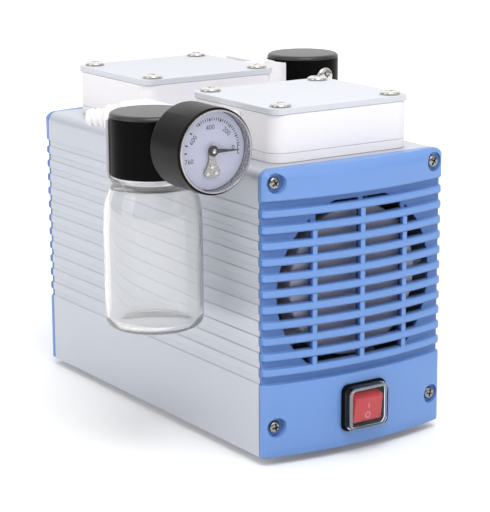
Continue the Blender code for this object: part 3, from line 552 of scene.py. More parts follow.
def grille_slot(x_low, x_high, low, high):
    """One air slot: a groove's height between two bars, ending on the grille's outline."""
    inset = 0.0001
    shortest = 0.0006
    nearest = 0 if x_low < 0 < x_high else min(abs(x_low), abs(x_high))
    tallest = sqrt(GRILLE_RADIUS ** 2 - nearest ** 2) - inset
    low = max(low + inset, GRILLE_Z + max(GRILLE_LOWEST, -tallest))
    high = min(high - inset, GRILLE_Z + min(GRILLE_HIGHEST, tallest))
    if high - low < shortest:
        return None
    ends = []
    for level in (low, high):
        reach = sqrt(GRILLE_RADIUS ** 2 - (level - GRILLE_Z) ** 2)
        ends.append((max(x_low, -reach), min(x_high, reach), level))
    outline = [(right, level) for _, right, level in ends]
    outline += [(left, level) for left, _, level in reversed(ends)]
    return prism(outline, -0.020, 0.001, axis="Y")


def grille_slots():
    edges = [-GRILLE_RADIUS]
    for x in BAR_X:
        edges += [x - BAR_WIDTH / 2, x + BAR_WIDTH / 2]
    edges.append(GRILLE_RADIUS)
    spans = list(zip(edges[0::2], edges[1::2]))
    slots = [grille_slot(a, b, low, high) for low, high in groove_ranges() for a, b in spans]
    return [slot for slot in slots if slot]


def grille_bars():
    bars = []
    half = BAR_WIDTH / 2
    round_off = 0.0005
    lowest = GRILLE_LOWEST + 0.0003
    highest = GRILLE_HIGHEST - 0.0030
    for x in BAR_X:
        chord = sqrt(GRILLE_RADIUS ** 2 - x ** 2)
        low = GRILLE_Z + max(-chord, lowest)
        high = GRILLE_Z + min(chord - RIB_HEIGHT, highest)
        front = bowed(PANEL_EDGE, PANEL_BOW, abs(x) + half) + 0.0006
        back = bowed(FLOOR_EDGE, FLOOR_BOW, x) + 0.001
        outline = [(x + half, back), (x - half, back)]
        outline += arc((x - half + round_off, front + round_off), round_off, 180, 270, 3)
        outline += arc((x + half - round_off, front + round_off), round_off, 270, 360, 3)
        bars.append(prism(outline, low, high))
    return bars


def panel_mesh():
    high = BODY_TOP - BODY_LOW
    half_way = BODY_LOW + high / 2
    limit = HALF_WIDTH + 1e-4
    outline = rounded_rectangle(2 * HALF_WIDTH + 0.001, high, CORNER_RADIUS, (0, half_way), 12)
    outline = [(max(-limit, min(limit, u)), v) for u, v in outline if v > half_way]
    outline += [(-limit, BODY_LOW - 0.001), (limit, BODY_LOW - 0.001)]
    panel = combine(panel_blank(), [prism(outline, -0.030, 0.010, axis="Y")], "INTERSECT")
    cutters = grille_slots()
    for side in (-1, 1):
        reach = sorted((side * (HALF_WIDTH - FLUTE_DEPTH), side * (HALF_WIDTH + 0.002)))
        cutters += [box(reach, (-0.020, 0.001), levels) for levels in groove_ranges()]
    cutters.append(switch_block(CUTOUT, (-0.030, 0.010)))
    chamfer = 0.0005
    mouth = 0.0085
    hole = 0.0022
    for x in (-PANEL_SCREW_X, PANEL_SCREW_X):
        for z in PANEL_SCREW_Z:
            surface = rolled_front(x, z)
            well = [(0, -0.030), (mouth, -0.030), (mouth, surface - 0.0022),
                    (WELL_RADIUS + chamfer, surface - 0.0012), (WELL_RADIUS, surface + chamfer),
                    (WELL_RADIUS, -WELL_FLOOR), (hole, -WELL_FLOOR), (hole, 0.010), (0, 0.010)]
            cutters.append(lathe(well, "Y", (x, z), 40))
    panel = cut(panel, *cutters)
    return union(panel, merged(grille_bars()))


def paint_shade_in_recesses(mesh):
    """Painted shade: give the grooves' floors and the sides of the grille's bars a deeper blue than the ribs, for
    the shade that lies in these recesses.
    """
    deep = 0.0012
    facing_up = 0.5
    mesh.materials.append(MATERIALS["blue_painted_shade"])
    for face in mesh.polygons:
        x, y, z = face.center
        inside = RIBS_LOW < z < RIBS_HIGH
        # faces set back in the grooves that don't face up get the painted shade
        if inside and y - bowed(PANEL_EDGE, PANEL_BOW, x) > deep and face.normal.z < facing_up:
            face.material_index = 1


def build_panels():
    mesh = panel_mesh()
    front = Matrix.Translation((0, -HALF_LENGTH, 0))
    rear = Matrix.Translation((0, HALF_LENGTH, 0)) @ Matrix.Rotation(pi, 4, "Z")
    for name, place, item in (("front", front, mesh), ("rear", rear, mesh.copy())):
        add_piece(f"panel_{name}", item, "blue_plastic", [f"{name}_panel"], at=place)
        paint_shade_in_recesses(item)


# ---- screws

def cross_cutter(reach, width, depth, top):
    """A Phillips recess: two tapering blades crossing on the axis."""
    corners = ((-1, -1), (1, -1), (1, 1), (-1, 1))
    blades = []
    for turn in (0, 90):
        bm = bmesh.new()
        high = [bm.verts.new((u * reach, v * width, top + 0.0005)) for u, v in corners]
        low = [bm.verts.new((u * reach * 0.35, v * width * 0.6, top - depth)) for u, v in corners]
        bm.faces.new(high)
        bm.faces.new(low)
        bridge(bm, low, high)
        mesh = to_mesh("blade", bm)
        mesh.transform(Matrix.Rotation(radians(turn), 4, "Z"))
        blades.append(mesh)
    return blades


def screw_mesh(radius, height, shank, length, turn, cross=1.0):
    """A pan-head Phillips screw standing on z = 0, its cross turned by an angle."""
    profile = [(0, -length), (shank * 0.8, -length), (shank, -length + shank * 0.3), (shank, 0),
               (radius * 0.97, 0)]
    crown = ((1.0, 0.10), (1.0, 0.34), (0.97, 0.52), (0.90, 0.70), (0.78, 0.84), (0.60, 0.94), (0.36, 0.99))
    profile += [(radius * across, height * up) for across, up in crown]
    profile += [(0, height)]
    mesh = lathe(profile, segments=48)
    for blade in cross_cutter(radius * 0.60 * cross, radius * 0.13 * cross, height * 0.85, height):
        mesh = cut(mesh, blade, sharp=30)
    mesh.transform(Matrix.Rotation(radians(turn), 4, "Z"))
    return mesh


def build_screws():
    turns = (20, 65, 40, 5, 80, 30, 55, 12)
    for end, name in enumerate(("front", "rear")):
        for number in range(1, 5):
            node = f"{name}_cover_screw_{number}"
            low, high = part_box(node)
            plate_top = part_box(f"{name}_cover_plate")[1].z
            place = Matrix.Translation((*middle(node)[:2], plate_top + GAP))
            head = high.z - plate_top - GAP
            turn = turns[end * 4 + number - 1]
            mesh = screw_mesh((high.x - low.x) / 2, head, COVER_SHANK, plate_top - low.z, turn)
            add_piece(f"cover_screw_{name}_{number}", mesh, "steel", [node], at=place)
    wells = [(x, z) for z in PANEL_SCREW_Z for x in (-PANEL_SCREW_X, PANEL_SCREW_X)]
    for name, side in (("front", -1), ("rear", 1)):
        y = side * (HALF_LENGTH + WELL_FLOOR + GAP)
        for number, (x, z) in enumerate(wells, 1):
            mesh = screw_mesh(0.0038, 0.0024, 0.0018, 0.010, turns[number + 2], 1.3)
            replaced = [f"front_panel_screw_{number}"] if name == "front" else []
            place = Matrix.Translation((x, y, z)) @ Matrix.Rotation(-side * pi / 2, 4, "X")
            add_piece(f"panel_screw_{name}_{number}", mesh, "dark_steel", replaced, at=place)
    low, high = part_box("right_trap_plug")
    x, _, z = middle("right_trap_plug")
    cap_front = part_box("right_trap_cap")[0].y
    place = Matrix.Translation((x, cap_front - GAP, z)) @ Matrix.Rotation(pi / 2, 4, "X")
    mesh = screw_mesh((high.x - low.x) / 2, cap_front - GAP - low.y, 0.0042, 0.004, 25)
    add_piece("plug_screw", mesh, "steel", ["right_trap_plug"], at=place)


# ---- pump heads

# piece: CAD layer, corner radius, material, softened edge
HEAD_LAYERS = {
    "flange": ("flange", BLOCK_CORNER, "white_ptfe", 0.00025),
    "head": ("head_block", BLOCK_CORNER, "white_ptfe", 0.0003),
    "plate": ("cover_plate", PLATE_CORNER, "grey_plate", 0.0007),
}


def head_hollow(piece, low, high, centre):
    """What is cut from the middle of a layer: the flange's bore or the head's chamber."""
    if piece == "flange":
        return [cylinder(FLANGE_BORE, low - 0.001, high + 0.001, centre=centre)]
    if piece == "head":
        seat, roof = low + 0.0025, low + 0.0065
        return [lathe([(0, low - 0.01), (RECESS, low - 0.01), (RECESS, seat), (FLANGE_BORE, seat),
                       (CHAMBER, roof), (0, roof)], centre=centre)]
    return []


def screw_holes(name, low, high):
    places = [middle(f"{name}_cover_screw_{number}")[:2] for number in range(1, 5)]
    return [cylinder(COVER_HOLE, low - 0.001, high + 0.001, centre=place, segments=24) for place in places]


def build_heads():
    """Three layers to a head, let down so that only a hairline seam is left under each."""
    for name in ("front", "rear"):
        for piece, (layer, corner, material, bevel) in HEAD_LAYERS.items():
            node = f"{name}_{layer}"
            low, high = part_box(node)
            centre = middle(node)[:2]
            outline = rounded_rectangle(high.x - low.x, high.y - low.y, corner, centre, 12)
            tools = head_hollow(piece, low.z, high.z, centre) + screw_holes(name, low.z, high.z)
            mesh = cut(prism(outline, low.z - SEAM, high.z), *tools)
            add_piece(f"{piece}_{name}", mesh, material, [node], bevel=bevel)


# ---- liquid traps

def trap_centre(name):
    return middle(f"{name}_trap_jar")[:2]


def build_caps():
    edge = 0.0026
    sockets = {"left": "gauge_dial", "right": "right_trap_plug"}
    bore = 0.0203
    chamber = 0.015
    foot = 0.0006
    for name in ("left", "right"):
        low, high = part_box(f"{name}_trap_cap")
        centre = trap_centre(name)
        radius = (high.x - low.x) / 2
        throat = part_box(f"{name}_trap_jar")[1].z + GAP
        roof = high.z - 0.0045
        top = high.z - edge - 0.0002
        profile = [(0, roof), (chamber, roof), (chamber, throat), (bore, throat), (bore, low.z),
                   (radius - foot, low.z)]
        profile += arc((radius - foot, low.z + foot), foot, -90, 0, 3)
        profile += [(radius, top), (0, top)]
        cap = lathe(profile, centre=centre, segments=96)
        front = centre[1] - radius
        place = (centre[0], middle(sockets[name])[2])
        socket = cylinder(SOCKET_RADIUS, front - 0.01, front + 0.0055, "Y", place, 32)
        add_piece(f"cap_{name}", cut(cap, socket), "black_plastic", [f"{name}_trap_cap"])
        # The cap's top and rounded edge in a lighter black than its side: painted sheen, together with a stronger
        # real reflection from its gloss.
        lid = [(0, high.z - edge - 0.0001), (radius, high.z - edge - 0.0001)]
        lid += arc((radius - edge, high.z - edge), edge, 0, 90, 9) + [(0, high.z)]
        add_piece(f"cap_lid_{name}", lathe(lid, centre=centre, segments=96), "satin_black_painted_sheen")


def jar_profile(low, high, radius, mouth):
    """Outer and inner wall of a glass jar: foot, straight side, soft shoulder, rolled bead and neck."""
    wall = 0.0020
    neck = 0.0200
    bead = 0.0244
    foot = 0.0060
    shoulder = ((0.0, 0.0330), (0.0001, 0.0290), (0.0003, 0.0245), (0.0006, 0.0205), (0.0011, 0.0172),
                (0.0017, 0.0145), (0.0024, 0.0122), (0.0032, 0.0101), (0.0040, 0.0083), (0.0046, 0.0068))
    side = [(radius - inset, mouth - depth) for inset, depth in shoulder]
    outer = [(0, low + 0.0012), (radius * 0.60, low + 0.0010), (radius - foot - 0.001, low)]
    outer += arc((radius - foot, low + foot), foot, -90, 0, 8) + side
    outer += [(bead - 0.0003, mouth - 0.0054), (bead - 0.0004, mouth - 0.0044), (bead, mouth - 0.0036),
              (bead + 0.0001, mouth - 0.0024), (bead - 0.0004, mouth - 0.0012), (neck, mouth - 0.0008),
              (neck, high)]
    inner = [(neck - wall, high), (neck - wall, mouth - 0.004), (bead - 0.0010 - wall, mouth - 0.0072)]
    inner += [(across - wall, up - wall * 0.35) for across, up in reversed(side)]
    inner += arc((radius - wall - 0.0045, low + wall + 0.0055), 0.0045, 0, -90, 6)
    inner += [(0, low + wall + 0.0018)]
    return outer + inner


def build_jars():
    for name in ("left", "right"):
        low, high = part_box(f"{name}_trap_jar")
        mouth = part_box(f"{name}_trap_cap")[0].z
        profile = jar_profile(low.z - JAR_LONGER, high.z, (high.x - low.x) / 2, mouth)
        jar = lathe(profile, centre=trap_centre(name), segments=128)
        smooth(jar, 60)
        add_piece(f"jar_{name}", jar, "glass", [f"{name}_trap_jar"], f"{name}_jar")
        inner, outer = 0.0204, 0.0241
        under, over = mouth - 0.0007, mouth - 0.0002
        seal = [(inner, under), (outer, under), (outer, over), (inner, over)]
        washer = lathe(seal, centre=trap_centre(name), segments=96, ring=True)
        add_piece(f"seal_{name}", washer, "white_ptfe", body=f"{name}_jar")


def port_place(side, port_y, port_z):
    """Where a hose barb starts, its own +X pointing out of the arm at 45 degrees to the rear."""
    turn = radians(45 if side > 0 else 135)
    return Matrix.Translation((side * PORT_FACE_X, port_y, port_z)) @ Matrix.Rotation(turn, 4, "Z")


def port_arm_mesh(side, centre, port, levels, head_side):
    """White arm from the head to a cradle round the back of the cap, with a block for the hose barb."""
    trap_x, trap_y = centre
    low, high = levels
    reach = 0.0264
    cap_radius = 0.0245

    def x_span(inner, outer):
        return tuple(sorted((side * inner, side * outer)))

    cradle = cylinder(reach, low, high, centre=centre, segments=96)
    arm = box(x_span(head_side + GAP, 0.090), (trap_y - 0.011, trap_y + 0.011),
              (BODY_TOP + 0.003, high + 0.0005))
    half = 0.009
    block = box(x_span(0.0695, PORT_FACE_X + 0.004), (trap_y + 0.009, port[1] + 0.006),
                (port[2] - half, port[2] + half))
    solid = union(cradle, arm, block)
    room = cylinder(cap_radius + GAP, low - 0.01, high + 0.02, centre=centre, segments=96)
    across = (low - 0.01, high + 0.01)
    outer_front = box(x_span(abs(trap_x) - 0.0001, 0.140), (trap_y - 0.040, trap_y + 0.0115), across)
    inner_front = box(x_span(0.0660, abs(trap_x) + 0.001), (trap_y - 0.040, trap_y - 0.0112), across)
    corner = box((-GAP / 4, 0.040), (-0.060, 0.060), (-0.020, 0.020))
    corner.transform(port_place(side, port[1], port[2]))
    for tool in (room, outer_front, inner_front, corner):
        solid = cut(solid, tool)
    return solid


def barb_mesh():
    """Hose barb along +X: collar, three rounded ridges and a bored tip."""
    bore = 0.0025
    collar = 0.0079
    ridge = 0.0058
    root = 0.0047
    shoulder = 0.0085
    pitch = 0.0036
    end = 0.0205
    profile = [(bore, 0), (collar - 0.0006, 0), (collar, 0.0006)]
    profile += arc((collar - 0.0014, shoulder - 0.0014), 0.0014, 0, 90, 4)
    profile += [(root, shoulder)]
    for number in range(3):
        base = shoulder + pitch * number
        profile += [(root + 0.0001, base + 0.0004), (ridge - 0.0003, base + 0.0009), (ridge, base + 0.0014),
                    (ridge - 0.0003, base + 0.0021), (root, base + pitch)]
    profile += [(root - 0.0003, end - 0.0005), (root - 0.0010, end), (bore, end)]
    return lathe(profile, "X", segments=64, ring=True)


def build_ports():
    head_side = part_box("front_head_block")[1].x
    for name, side, barb in (("left", -1, "inlet_barb"), ("right", 1, "outlet_barb")):
        centre = trap_centre(name)
        port_z = middle(barb)[2]
        port_y = centre[1] + PORT_OFFSETS[name]
        place = port_place(side, port_y, port_z)
        add_piece(f"{barb}_fine", barb_mesh(), "white_ptfe", [barb], at=place)
        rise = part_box(f"{name}_trap_cap")[0].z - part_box("left_trap_cap")[0].z
        levels = [corner.z + rise - inset for corner, inset in zip(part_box("left_port_arm"), (0.0, 0.0005))]
        arm = port_arm_mesh(side, centre, (side * PORT_FACE_X, port_y, port_z), levels, head_side)
        if name == "right":
            boss = cylinder(0.0094, centre[1] - 0.022, centre[1] - 0.008, "Y", (0.0613, port_z + 0.0042))
            arm = union(arm, boss)
        add_piece(f"arm_{name}", arm, "white_ptfe", [f"{name}_port_arm"], bevel=0.0005)


# ---- gauge

def text_mesh(words, size):
    """A word as a thin flat mesh centred on the origin, in the XY plane."""
    curve = bpy.data.curves.new("word", "FONT")
    curve.body = words
    curve.size = size
    curve.align_x = "CENTER"
    curve.align_y = "CENTER"
    curve.extrude = 0.00004
    curve.resolution_u = 3
    return evaluated(add_item("word", curve))


def on_dial(mesh, centre, face, radius, angle, turn):
    """Place a flat mark on the dial at a clock angle (0 to the right, counter-clockwise)."""
    x = centre[0] + radius * cos(radians(angle))
    z = centre[1] + radius * sin(radians(angle))
    place = Matrix.Translation((x, face, z)) @ Matrix.Rotation(pi / 2, 4, "X")
    mesh.transform(place @ Matrix.Rotation(radians(turn), 4, "Z"))
    return mesh


def scale_angle(value):
    return -1.5 + 24 * value / 100


def dial_marks(centre, face):
    """Ticks, dots and a zero bracket of a vacuum scale from 0 to 760, and apart from them its numbers, to be given
    a paler ink.
    """
    ring = 0.0173
    centre = (centre[0] + 0.0008, centre[1])
    thin = 0.00004
    line = 0.00019
    marks = []

    def mark(mesh, radius, value):
        marks.append(on_dial(mesh, centre, face, radius, scale_angle(value), scale_angle(value)))

    for value in range(20, 521, 20):
        if value % 100:
            mark(box((-0.0008, 0.0008), (-0.0002, 0.0002), (-thin, thin)), ring, value)
    for value in (100, 200, 300, 400, 500, 600, 700, 760):
        dot = cylinder(0.00058, -thin, thin, segments=12)
        dot.transform(Matrix.Diagonal((1.6, 0.8, 1, 1)))
        mark(dot, ring - 0.0003, value)
    bracket = [box((-line, line), (-0.0031, 0.0031), (-thin, thin))]
    bracket += [box((-line, 0.0012), (y - line, y + line), (-thin, thin)) for y in (-0.0030, 0.0030)]
    for bar in bracket:
        mark(bar, ring - 0.0006, 0)
    places = (("0", 0.8, 0, 0.0138), ("200", 45.2, -44, 0.0134), ("400", 94.8, 4, 0.0127),
              ("600", 151, 52, 0.0138), ("760", 198.8, 0, 0.0158))
    numbers = [on_dial(text_mesh(word, 0.0038), centre, face, radius, angle, turn)
               for word, angle, turn, radius in places]
    return merged(marks), merged(numbers)


def small_head(front, back):
    """Profile of a little round head with a sloping edge."""
    return [(0, front), (0.0007, front), (0.0013, front + 0.0004), (0.0013, back), (0, back)]


def movement_mesh(centre, front, back):
    """Steel bracket below the needle's hub: narrow neck widening to a round foot."""
    foot_half = 0.0052
    corner = 0.0032
    foot_z = -0.0120
    outline = [(-0.0021, -0.0015), (-0.0021, -0.0055), (-0.0036, -0.0092)]
    outline += arc((-foot_half + corner, foot_z), corner, 160, 270, 6)
    outline += arc((foot_half - corner, foot_z), corner, 270, 380, 6)
    outline += [(0.0036, -0.0092), (0.0021, -0.0055), (0.0021, -0.0015)]
    outline = [(centre[0] + u, centre[1] + v) for u, v in outline]
    return prism(outline, front, back, axis="Y")


def build_gauge():
    case_low, case_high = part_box("gauge_case")
    dial_low, dial_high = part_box("gauge_dial")
    centre = middle("gauge_dial")[::2]
    radius = (case_high.x - case_low.x) / 2
    front = case_low.y
    back = front + 0.031
    inner = radius - 0.0010
    floor = front + 0.0080
    edge = front + 0.0014
    profile = [(0, floor), (inner, floor), (inner, edge + 0.0002), (radius - 0.0006, edge)]
    profile += arc((radius - 0.0005, edge + 0.0006), 0.0005, -90, 0, 3)
    profile += [(radius, edge + 0.0012), (radius, back - 0.0015)]
    profile += arc((radius - 0.0015, back - 0.0015), 0.0015, 0, 90, 4)
    stem, end = back + 0.006, case_high.y
    profile += [(0.0075, back), (0.0075, stem), (0.005, stem), (0.005, end), (0, end)]
    add_piece("gauge_body", lathe(profile, "Y", centre, 96), "case_black", ["gauge_case"])

    wall = inner - 0.0002
    lip = 0.0011
    tip, root = front + 0.0008, floor - 0.0002
    rim = [(wall, tip), (wall, root), (wall - lip, root), (wall - lip, tip)]
    rim += [(wall - lip / 2 + lip / 2 * cos(radians(a)), front + 0.0006 - 0.0006 * sin(radians(a)))
            for a in (160, 125, 90, 55, 20)]
    add_piece("gauge_ring", lathe(rim, "Y", centre, 128, ring=True), "ring_steel")

    face = dial_low.y
    dial_edge = wall - lip - 0.0002
    dial = [(0, face), (dial_edge - 0.0002, face), (dial_edge, face + 0.0002), (dial_edge, dial_high.y),
            (0, dial_high.y)]
    add_piece("gauge_face", lathe(dial, "Y", centre, 96), "dial_paint", ["gauge_dial"])
    marks, numbers = dial_marks(centre, face - 0.00006)
    add_piece("gauge_marks", marks, "ink")
    add_piece("gauge_numbers", numbers, "grey_ink")

    bracket = movement_mesh(centre, face - 0.0014, face - 0.0004)
    add_piece("gauge_bracket", bracket, "dark_steel", bevel=0.0002)
    head = small_head(face - 0.0021, face - 0.0013)
    heads = [lathe(head, "Y", (centre[0] + u, centre[1] + v), 24)
             for u, v in ((-0.0027, -0.0124), (0.0027, -0.0124), (0.0, -0.0088))]
    add_piece("gauge_bracket_screws", merged(heads), "steel")

    lens_rim = wall - lip - 0.0001
    lens = [(0, front + 0.0022), (lens_rim, front + 0.0026), (lens_rim, front + 0.0018),
            (lens_rim - 0.004, front + 0.0014), (0, front + 0.0012)]
    add_piece("gauge_glass", lathe(lens, "Y", centre, 128), "lens", ["gauge_lens"])
    build_needle(centre, face)


def build_needle(centre, face):
    needle_y = face - 0.0030
    profile = [(0, needle_y - 0.0006), (0.0022, needle_y - 0.0006)]
    profile += [(0.0030, needle_y), (0.0030, needle_y + 0.0010), (0.0012, needle_y + 0.0012),
                (0.0012, face - GAP), (0, face - GAP)]
    hub = lathe(profile, "Y", centre, 40)
    outline = [(-0.0025, -0.0013), (0.0, -0.0014), (0.0166, -0.00022), (0.0170, 0.0),
               (0.0166, 0.00022), (0.0, 0.0014), (-0.0025, 0.0013)]
    droop = radians(-3)
    outline = [(centre[0] + u * cos(droop) - v * sin(droop), centre[1] + u * sin(droop) + v * cos(droop))
               for u, v in outline]
    pointer = prism(outline, needle_y, needle_y + 0.0005, axis="Y")
    add_piece("needle_pointer", union(hub, pointer), "ink", ["gauge_needle"], "needle")
    pin = small_head(needle_y - 0.0014, needle_y - 0.0005)
    add_piece("needle_pin", lathe(pin, "Y", centre, 32), "steel", body="needle")


# ---- switch and power inlet

def shell_rows(rows, name):
    """Close a stack of rounded-rectangle outlines, each given with its Y, into one skin."""
    bm = bmesh.new()
    loops = [[bm.verts.new((u, y, v)) for u, v in outline] for y, outline in rows]
    for first, second in zip(loops, loops[1:]):
        bridge(bm, first, second)
    bm.faces.new(loops[0])
    bm.faces.new(loops[-1])
    return to_mesh(name, bm, 40)


def cover_rows(back_size, front_size, corner, back, front, edge):
    """Outlines of a raised cover from its back to its front, narrowing and with a rounded front edge."""
    centre = (0, CUTOUT_Z)
    rows = [(back, rounded_rectangle(*back_size, corner, centre))]
    for u, v in arc((0, 0), edge, 0, 90, 6):
        inset = edge - u
        width, height = [side - 2 * inset for side in front_size]
        rows.append((front + edge - v, rounded_rectangle(width, height, corner - inset * 0.8, centre)))
    return rows


def build_switch():
    low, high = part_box("switch_body")
    cover_low, cover_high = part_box("switch_cover")
    size = (high.x - low.x, high.z - low.z)
    bezel_front = low.y
    bezel_back = bezel_front + 0.002
    bezel = shell_rows(cover_rows(size, size, 0.0045, bezel_back, bezel_front, 0.0010), "bezel")
    inside = switch_block([side - 2 * GAP for side in CUTOUT], (bezel_back - 0.0005, high.y))
    body = union(bezel, inside)
    pocket = (ROCKER_SIZE[0] + 0.0016, ROCKER_SIZE[1] + 0.0034)
    body = cut(body, switch_block(pocket, (bezel_front - 0.001, high.y - 0.010), 0.0012, 4))
    add_piece("switch_frame", body, "black_plastic", ["switch_body"])

    skin = 0.0009
    base = (cover_high.x - cover_low.x, cover_high.z - cover_low.z)
    back, front = cover_high.y, cover_low.y
    inner_base, inner_front = [[side - 2 * skin for side in size] for size in (base, COVER_FRONT)]
    outer = shell_rows(cover_rows(base, COVER_FRONT, 0.0045, back, front, 0.0020), "cover")
    room = shell_rows(cover_rows(inner_base, inner_front, 0.0040, back + 0.001, front + skin, 0.0014), "room")
    shell = cut(outer, room, sharp=40)
    # The cover's rim is milky plastic: partly the rim's own whitish look, partly painted highlight standing in for
    # light caught inside the rim.
    around = switch_block((0.040, 0.040), (cover_low.y - 0.001, cover_low.y + 0.0018), 0.002, 8)
    pane_size = [side - 0.0026 for side in COVER_FRONT]
    pane = switch_block(pane_size, (cover_low.y - 0.002, cover_low.y + 0.003), 0.0032, 8)
    edge_zone = cut(around, pane)
    milky_highlight_rim = combine(shell.copy(), [edge_zone.copy()], "INTERSECT", 40)
    add_piece("switch_cover_highlight_edge", milky_highlight_rim, "milky_highlight_plastic")
    add_piece("switch_clear_cover", cut(shell, edge_zone, sharp=40), "clear_plastic", ["switch_cover"])
    build_rocker()


def rocker_place():
    joint = next(j for j in frame["joints"] if j["name"] == "rocker_tilt")
    return Matrix.Translation(joint["pos_m"]) @ Matrix.Rotation(radians(8), 4, "X")


def build_rocker():
    """Red rocker: a deep key with soft edges, and a bar and a ring on its face."""
    half_x, half_z = [side / 2 for side in ROCKER_SIZE]
    face = -0.0083
    edge = 0.0010
    outline = [(face + edge, -half_z), (0.0044, -half_z), (0.0044, half_z), (face + edge, half_z),
               (face, half_z - edge), (face, -half_z + edge)]
    place = rocker_place()
    key = prism(outline, -half_x, half_x, axis="X")
    add_piece("rocker_key", key, "red_plastic", ["switch_rocker"], "rocker", bevel=0.0009, at=place)
    front = face - 0.00003
    depth = 0.0003
    bar = box((-0.00025, 0.00025), (front, front + depth), (0.0004, 0.0036))
    ring = lathe([(0.0015, front), (0.00195, front), (0.00195, front + depth), (0.0015, front + depth)], "Y",
                 (-0.0002, -0.0040), 40, ring=True)
    add_piece("rocker_marks", merged([bar, ring]), "pale_ink", body="rocker", at=place)


def build_power_inlet():
    """Rear inlet: rounded flange, raised rim, keyed socket and three flat pins."""
    low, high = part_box("power_inlet")
    size = (high.x - low.x, high.z - low.z)
    flange_back = HALF_LENGTH + PANEL_EDGE + PANEL_BOW + GAP
    flange_front = flange_back + 0.003
    rim_size = (0.0278, 0.0203)
    layers = ((size, 0.003, -flange_back, -flange_front, 0.0009),
              (rim_size, 0.002, -flange_front + 0.001, -high.y, 0.0007))
    flange, rim = [shell_rows(cover_rows(area, area, *rest), "layer") for area, *rest in layers]
    for mesh in (flange, rim):
        mesh.transform(Matrix.Scale(-1, 4, (0, 1, 0)))
        mesh.flip_normals()
    inside = switch_block([side - 2 * GAP for side in CUTOUT], (low.y, flange_back + 0.001))
    body = union(flange, rim, inside)
    half_w = 0.0120
    half_h = 0.00825
    key = 0.004
    socket = [(-half_w, -half_h), (half_w, -half_h), (half_w, half_h - key), (half_w - key, half_h),
              (-half_w + key, half_h), (-half_w, half_h - key)]
    socket = [(u, v + CUTOUT_Z) for u, v in socket]
    body = cut(body, prism(socket, high.y - 0.018, high.y + 0.001, axis="Y"))
    add_piece("inlet_socket", body, "black_plastic", ["power_inlet"])
    reach = (high.y - 0.0185, high.y - 0.004)
    pins = [box((x - 0.001, x + 0.001), reach, (CUTOUT_Z + z - 0.002, CUTOUT_Z + z + 0.002))
            for x, z in ((-0.007, -0.0015), (0.007, -0.0015), (0.0, 0.0022))]
    add_piece("inlet_pins", merged(pins), "steel", bevel=0.0004)


# ---- fans, feet and what is left

def fan_mesh():
    """Cup hub facing -Y with short pitched blades round its rim."""
    wall = 0.0025
    boss = 0.009
    bore = 0.0053
    depth = 0.016
    rim = 0.046
    tip = 0.055
    profile = [(0, 0)] + arc((rim - 0.0015, 0.0015), 0.0015, -90, 0, 4)
    profile += [(rim, depth), (rim - wall, depth), (rim - wall, wall), (boss, wall), (boss, depth),
                (bore, depth), (bore, wall - GAP), (0, wall - GAP)]
    fan = lathe(profile, axis="Y", segments=96)
    blades = 5
    for number in range(blades):
        outline = [(-0.006, -0.0004), (0.0, -0.0012), (0.006, -0.0004), (0.006, 0.0004), (0.0, -0.0004),
                   (-0.006, 0.0004)]
        blade = prism(outline[::-1], rim - 0.0015, tip, axis="X")
        blade.transform(Matrix.Rotation(radians(-35), 4, "X"))
        blade.transform(Matrix.Translation((0, depth / 2 + 0.001, 0)))
        blade.transform(Matrix.Rotation(2 * pi * number / blades, 4, "Y"))
        fan = union(fan, blade)
    return fan


def build_fans():
    mesh = fan_mesh()
    front = Matrix.Translation((0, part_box("front_fan")[0].y, SHAFT_Z))
    rear = Matrix.Translation((0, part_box("rear_fan")[1].y, SHAFT_Z)) @ Matrix.Rotation(pi, 4, "Z")
    add_piece("fan_front", mesh, "fan_plastic", ["front_fan"], "shaft", at=front)
    add_piece("fan_rear", mesh.copy(), "fan_plastic", ["rear_fan"], "shaft", at=rear)


def build_feet():
    for end in ("front", "rear"):
        for side in ("left", "right"):
            node = f"foot_{end}_{side}"
            low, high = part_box(node)
            centre = middle(node)[:2]
            radius = (high.x - low.x) / 2
            profile = [(0, 0.0014), (0.0034, 0.0014), (0.0034, 0.0002), (0.0042, low.z)]
            profile += arc((radius - 0.0012, 0.0012), 0.0012, -90, 0, 4)
            profile += [(radius - 0.0008, high.z), (0, high.z)]
            add_piece(f"rubber_{node}", lathe(profile, centre=centre, segments=48), "rubber", [node])


def dress_frame_nodes():
    """Give every CAD node that still shows the material of its slot."""
    for part in frame["record"]["subparts"]:
        node = frame["nodes"][part["node"]]
        if node.hide_render:
            continue
        node.data.materials.clear()
        node.data.materials.append(MATERIALS[part["material_slot"]])


# ---- stage, light and camera

def add_floor():
    """Pale sweep that stays white far behind the object, where the lights don't reach."""
    bm = bmesh.new()
    bmesh.ops.create_grid(bm, x_segments=1, y_segments=1, size=12)
    floor = add_item("floor", to_mesh("floor", bm))
    material, tree, shader, place = shader_tree("floor")
    near = 0.15
    far = 1.2
    distance = add_node(tree, "VectorMath", links={0: place}, operation="LENGTH")["Value"]
    glow = in_range(tree, distance, *FLOOR_GLOW, (near, far))
    tree.links.new(glow, shader.inputs["Emission Strength"])
    values = {"Base Color": (0.90, 0.90, 0.905, 1), "Roughness": 0.8, "Specular IOR Level": 0.1,
              "Emission Color": (1, 1, 1, 1)}
    for socket, value in values.items():
        shader.inputs[socket].default_value = value
    floor.data.materials.append(material)


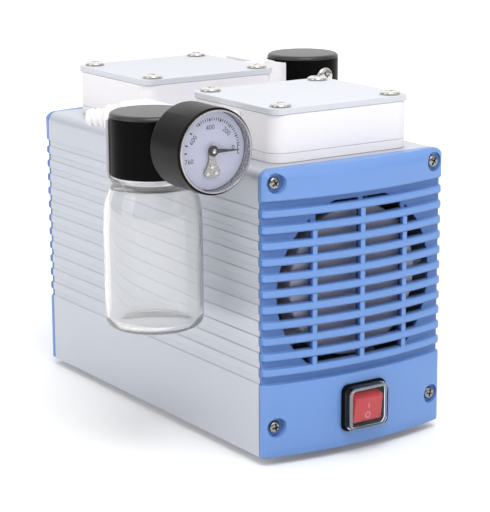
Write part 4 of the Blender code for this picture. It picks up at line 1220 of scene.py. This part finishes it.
def add_area(name, place, target, size, power):
    light = bpy.data.lights.new(name, "AREA")
    light.shape = "RECTANGLE"
    light.size, light.size_y = size
    light.energy = power
    item = add_item(name, light)
    item.location = place
    item.rotation_mode = "QUATERNION"
    item.rotation_quaternion = (Vector(target) - Vector(place)).to_track_quat("-Z", "Y")


def add_lights():
    """Sky brighter overhead and behind the object than at the near horizon, and three soft boxes."""
    world = bpy.data.worlds.new("studio")
    world.use_nodes = True
    tree = world.node_tree
    background = tree.nodes["Background"]
    background.inputs["Color"].default_value = (1.0, 1.0, 1.0, 1)
    direction = add_node(tree, "TexCoord")["Generated"]
    upward = add_node(tree, "SeparateXYZ", links={"Vector": direction})["Z"]
    rise = in_range(tree, upward, *SKY, (0.0, 0.9))
    behind = {1: (0.54, 0.84, 0.0)}
    toward_back = add_node(tree, "VectorMath", behind, {0: direction}, operation="DOT_PRODUCT")["Value"]
    back = in_range(tree, toward_back, 0.0, BACK_SKY, (0.2, 0.9))
    both = add_node(tree, "Math", links={0: rise, 1: back}, operation="ADD")[0]
    tree.links.new(both, background.inputs["Strength"])
    bpy.context.scene.world = world
    for name, place, size, power in LIGHTS:
        add_area(name, place, (0, 0, 0.1), size, power)


def add_camera():
    """Camera in front and to the left, by azimuth, elevation, roll and distance."""
    target = Vector((0.0022, -0.0100, 0.0945))
    azimuth = radians(-33.92)
    elevation = radians(13.59)
    roll = radians(-0.32)
    distance = 1.2236
    back = Vector((sin(azimuth) * cos(elevation), -cos(azimuth) * cos(elevation), sin(elevation)))
    camera = bpy.data.cameras.new("camera")
    camera.lens = 133.25
    camera.sensor_width = 36
    item = add_item("camera", camera)
    item.location = target + back * distance
    item.rotation_mode = "QUATERNION"
    item.rotation_quaternion = (-back).to_track_quat("-Z", "Y") @ Quaternion((0, 0, 1), roll)
    bpy.context.scene.camera = item


def main():
    bpy.context.scene.view_settings.view_transform = "Standard"
    for build in (build_housing, build_panels, build_screws, build_heads, build_caps, build_jars, build_ports,
                  build_gauge, build_switch, build_power_inlet, build_fans, build_feet, dress_frame_nodes,
                  add_floor, add_lights, add_camera):
        build()


main()
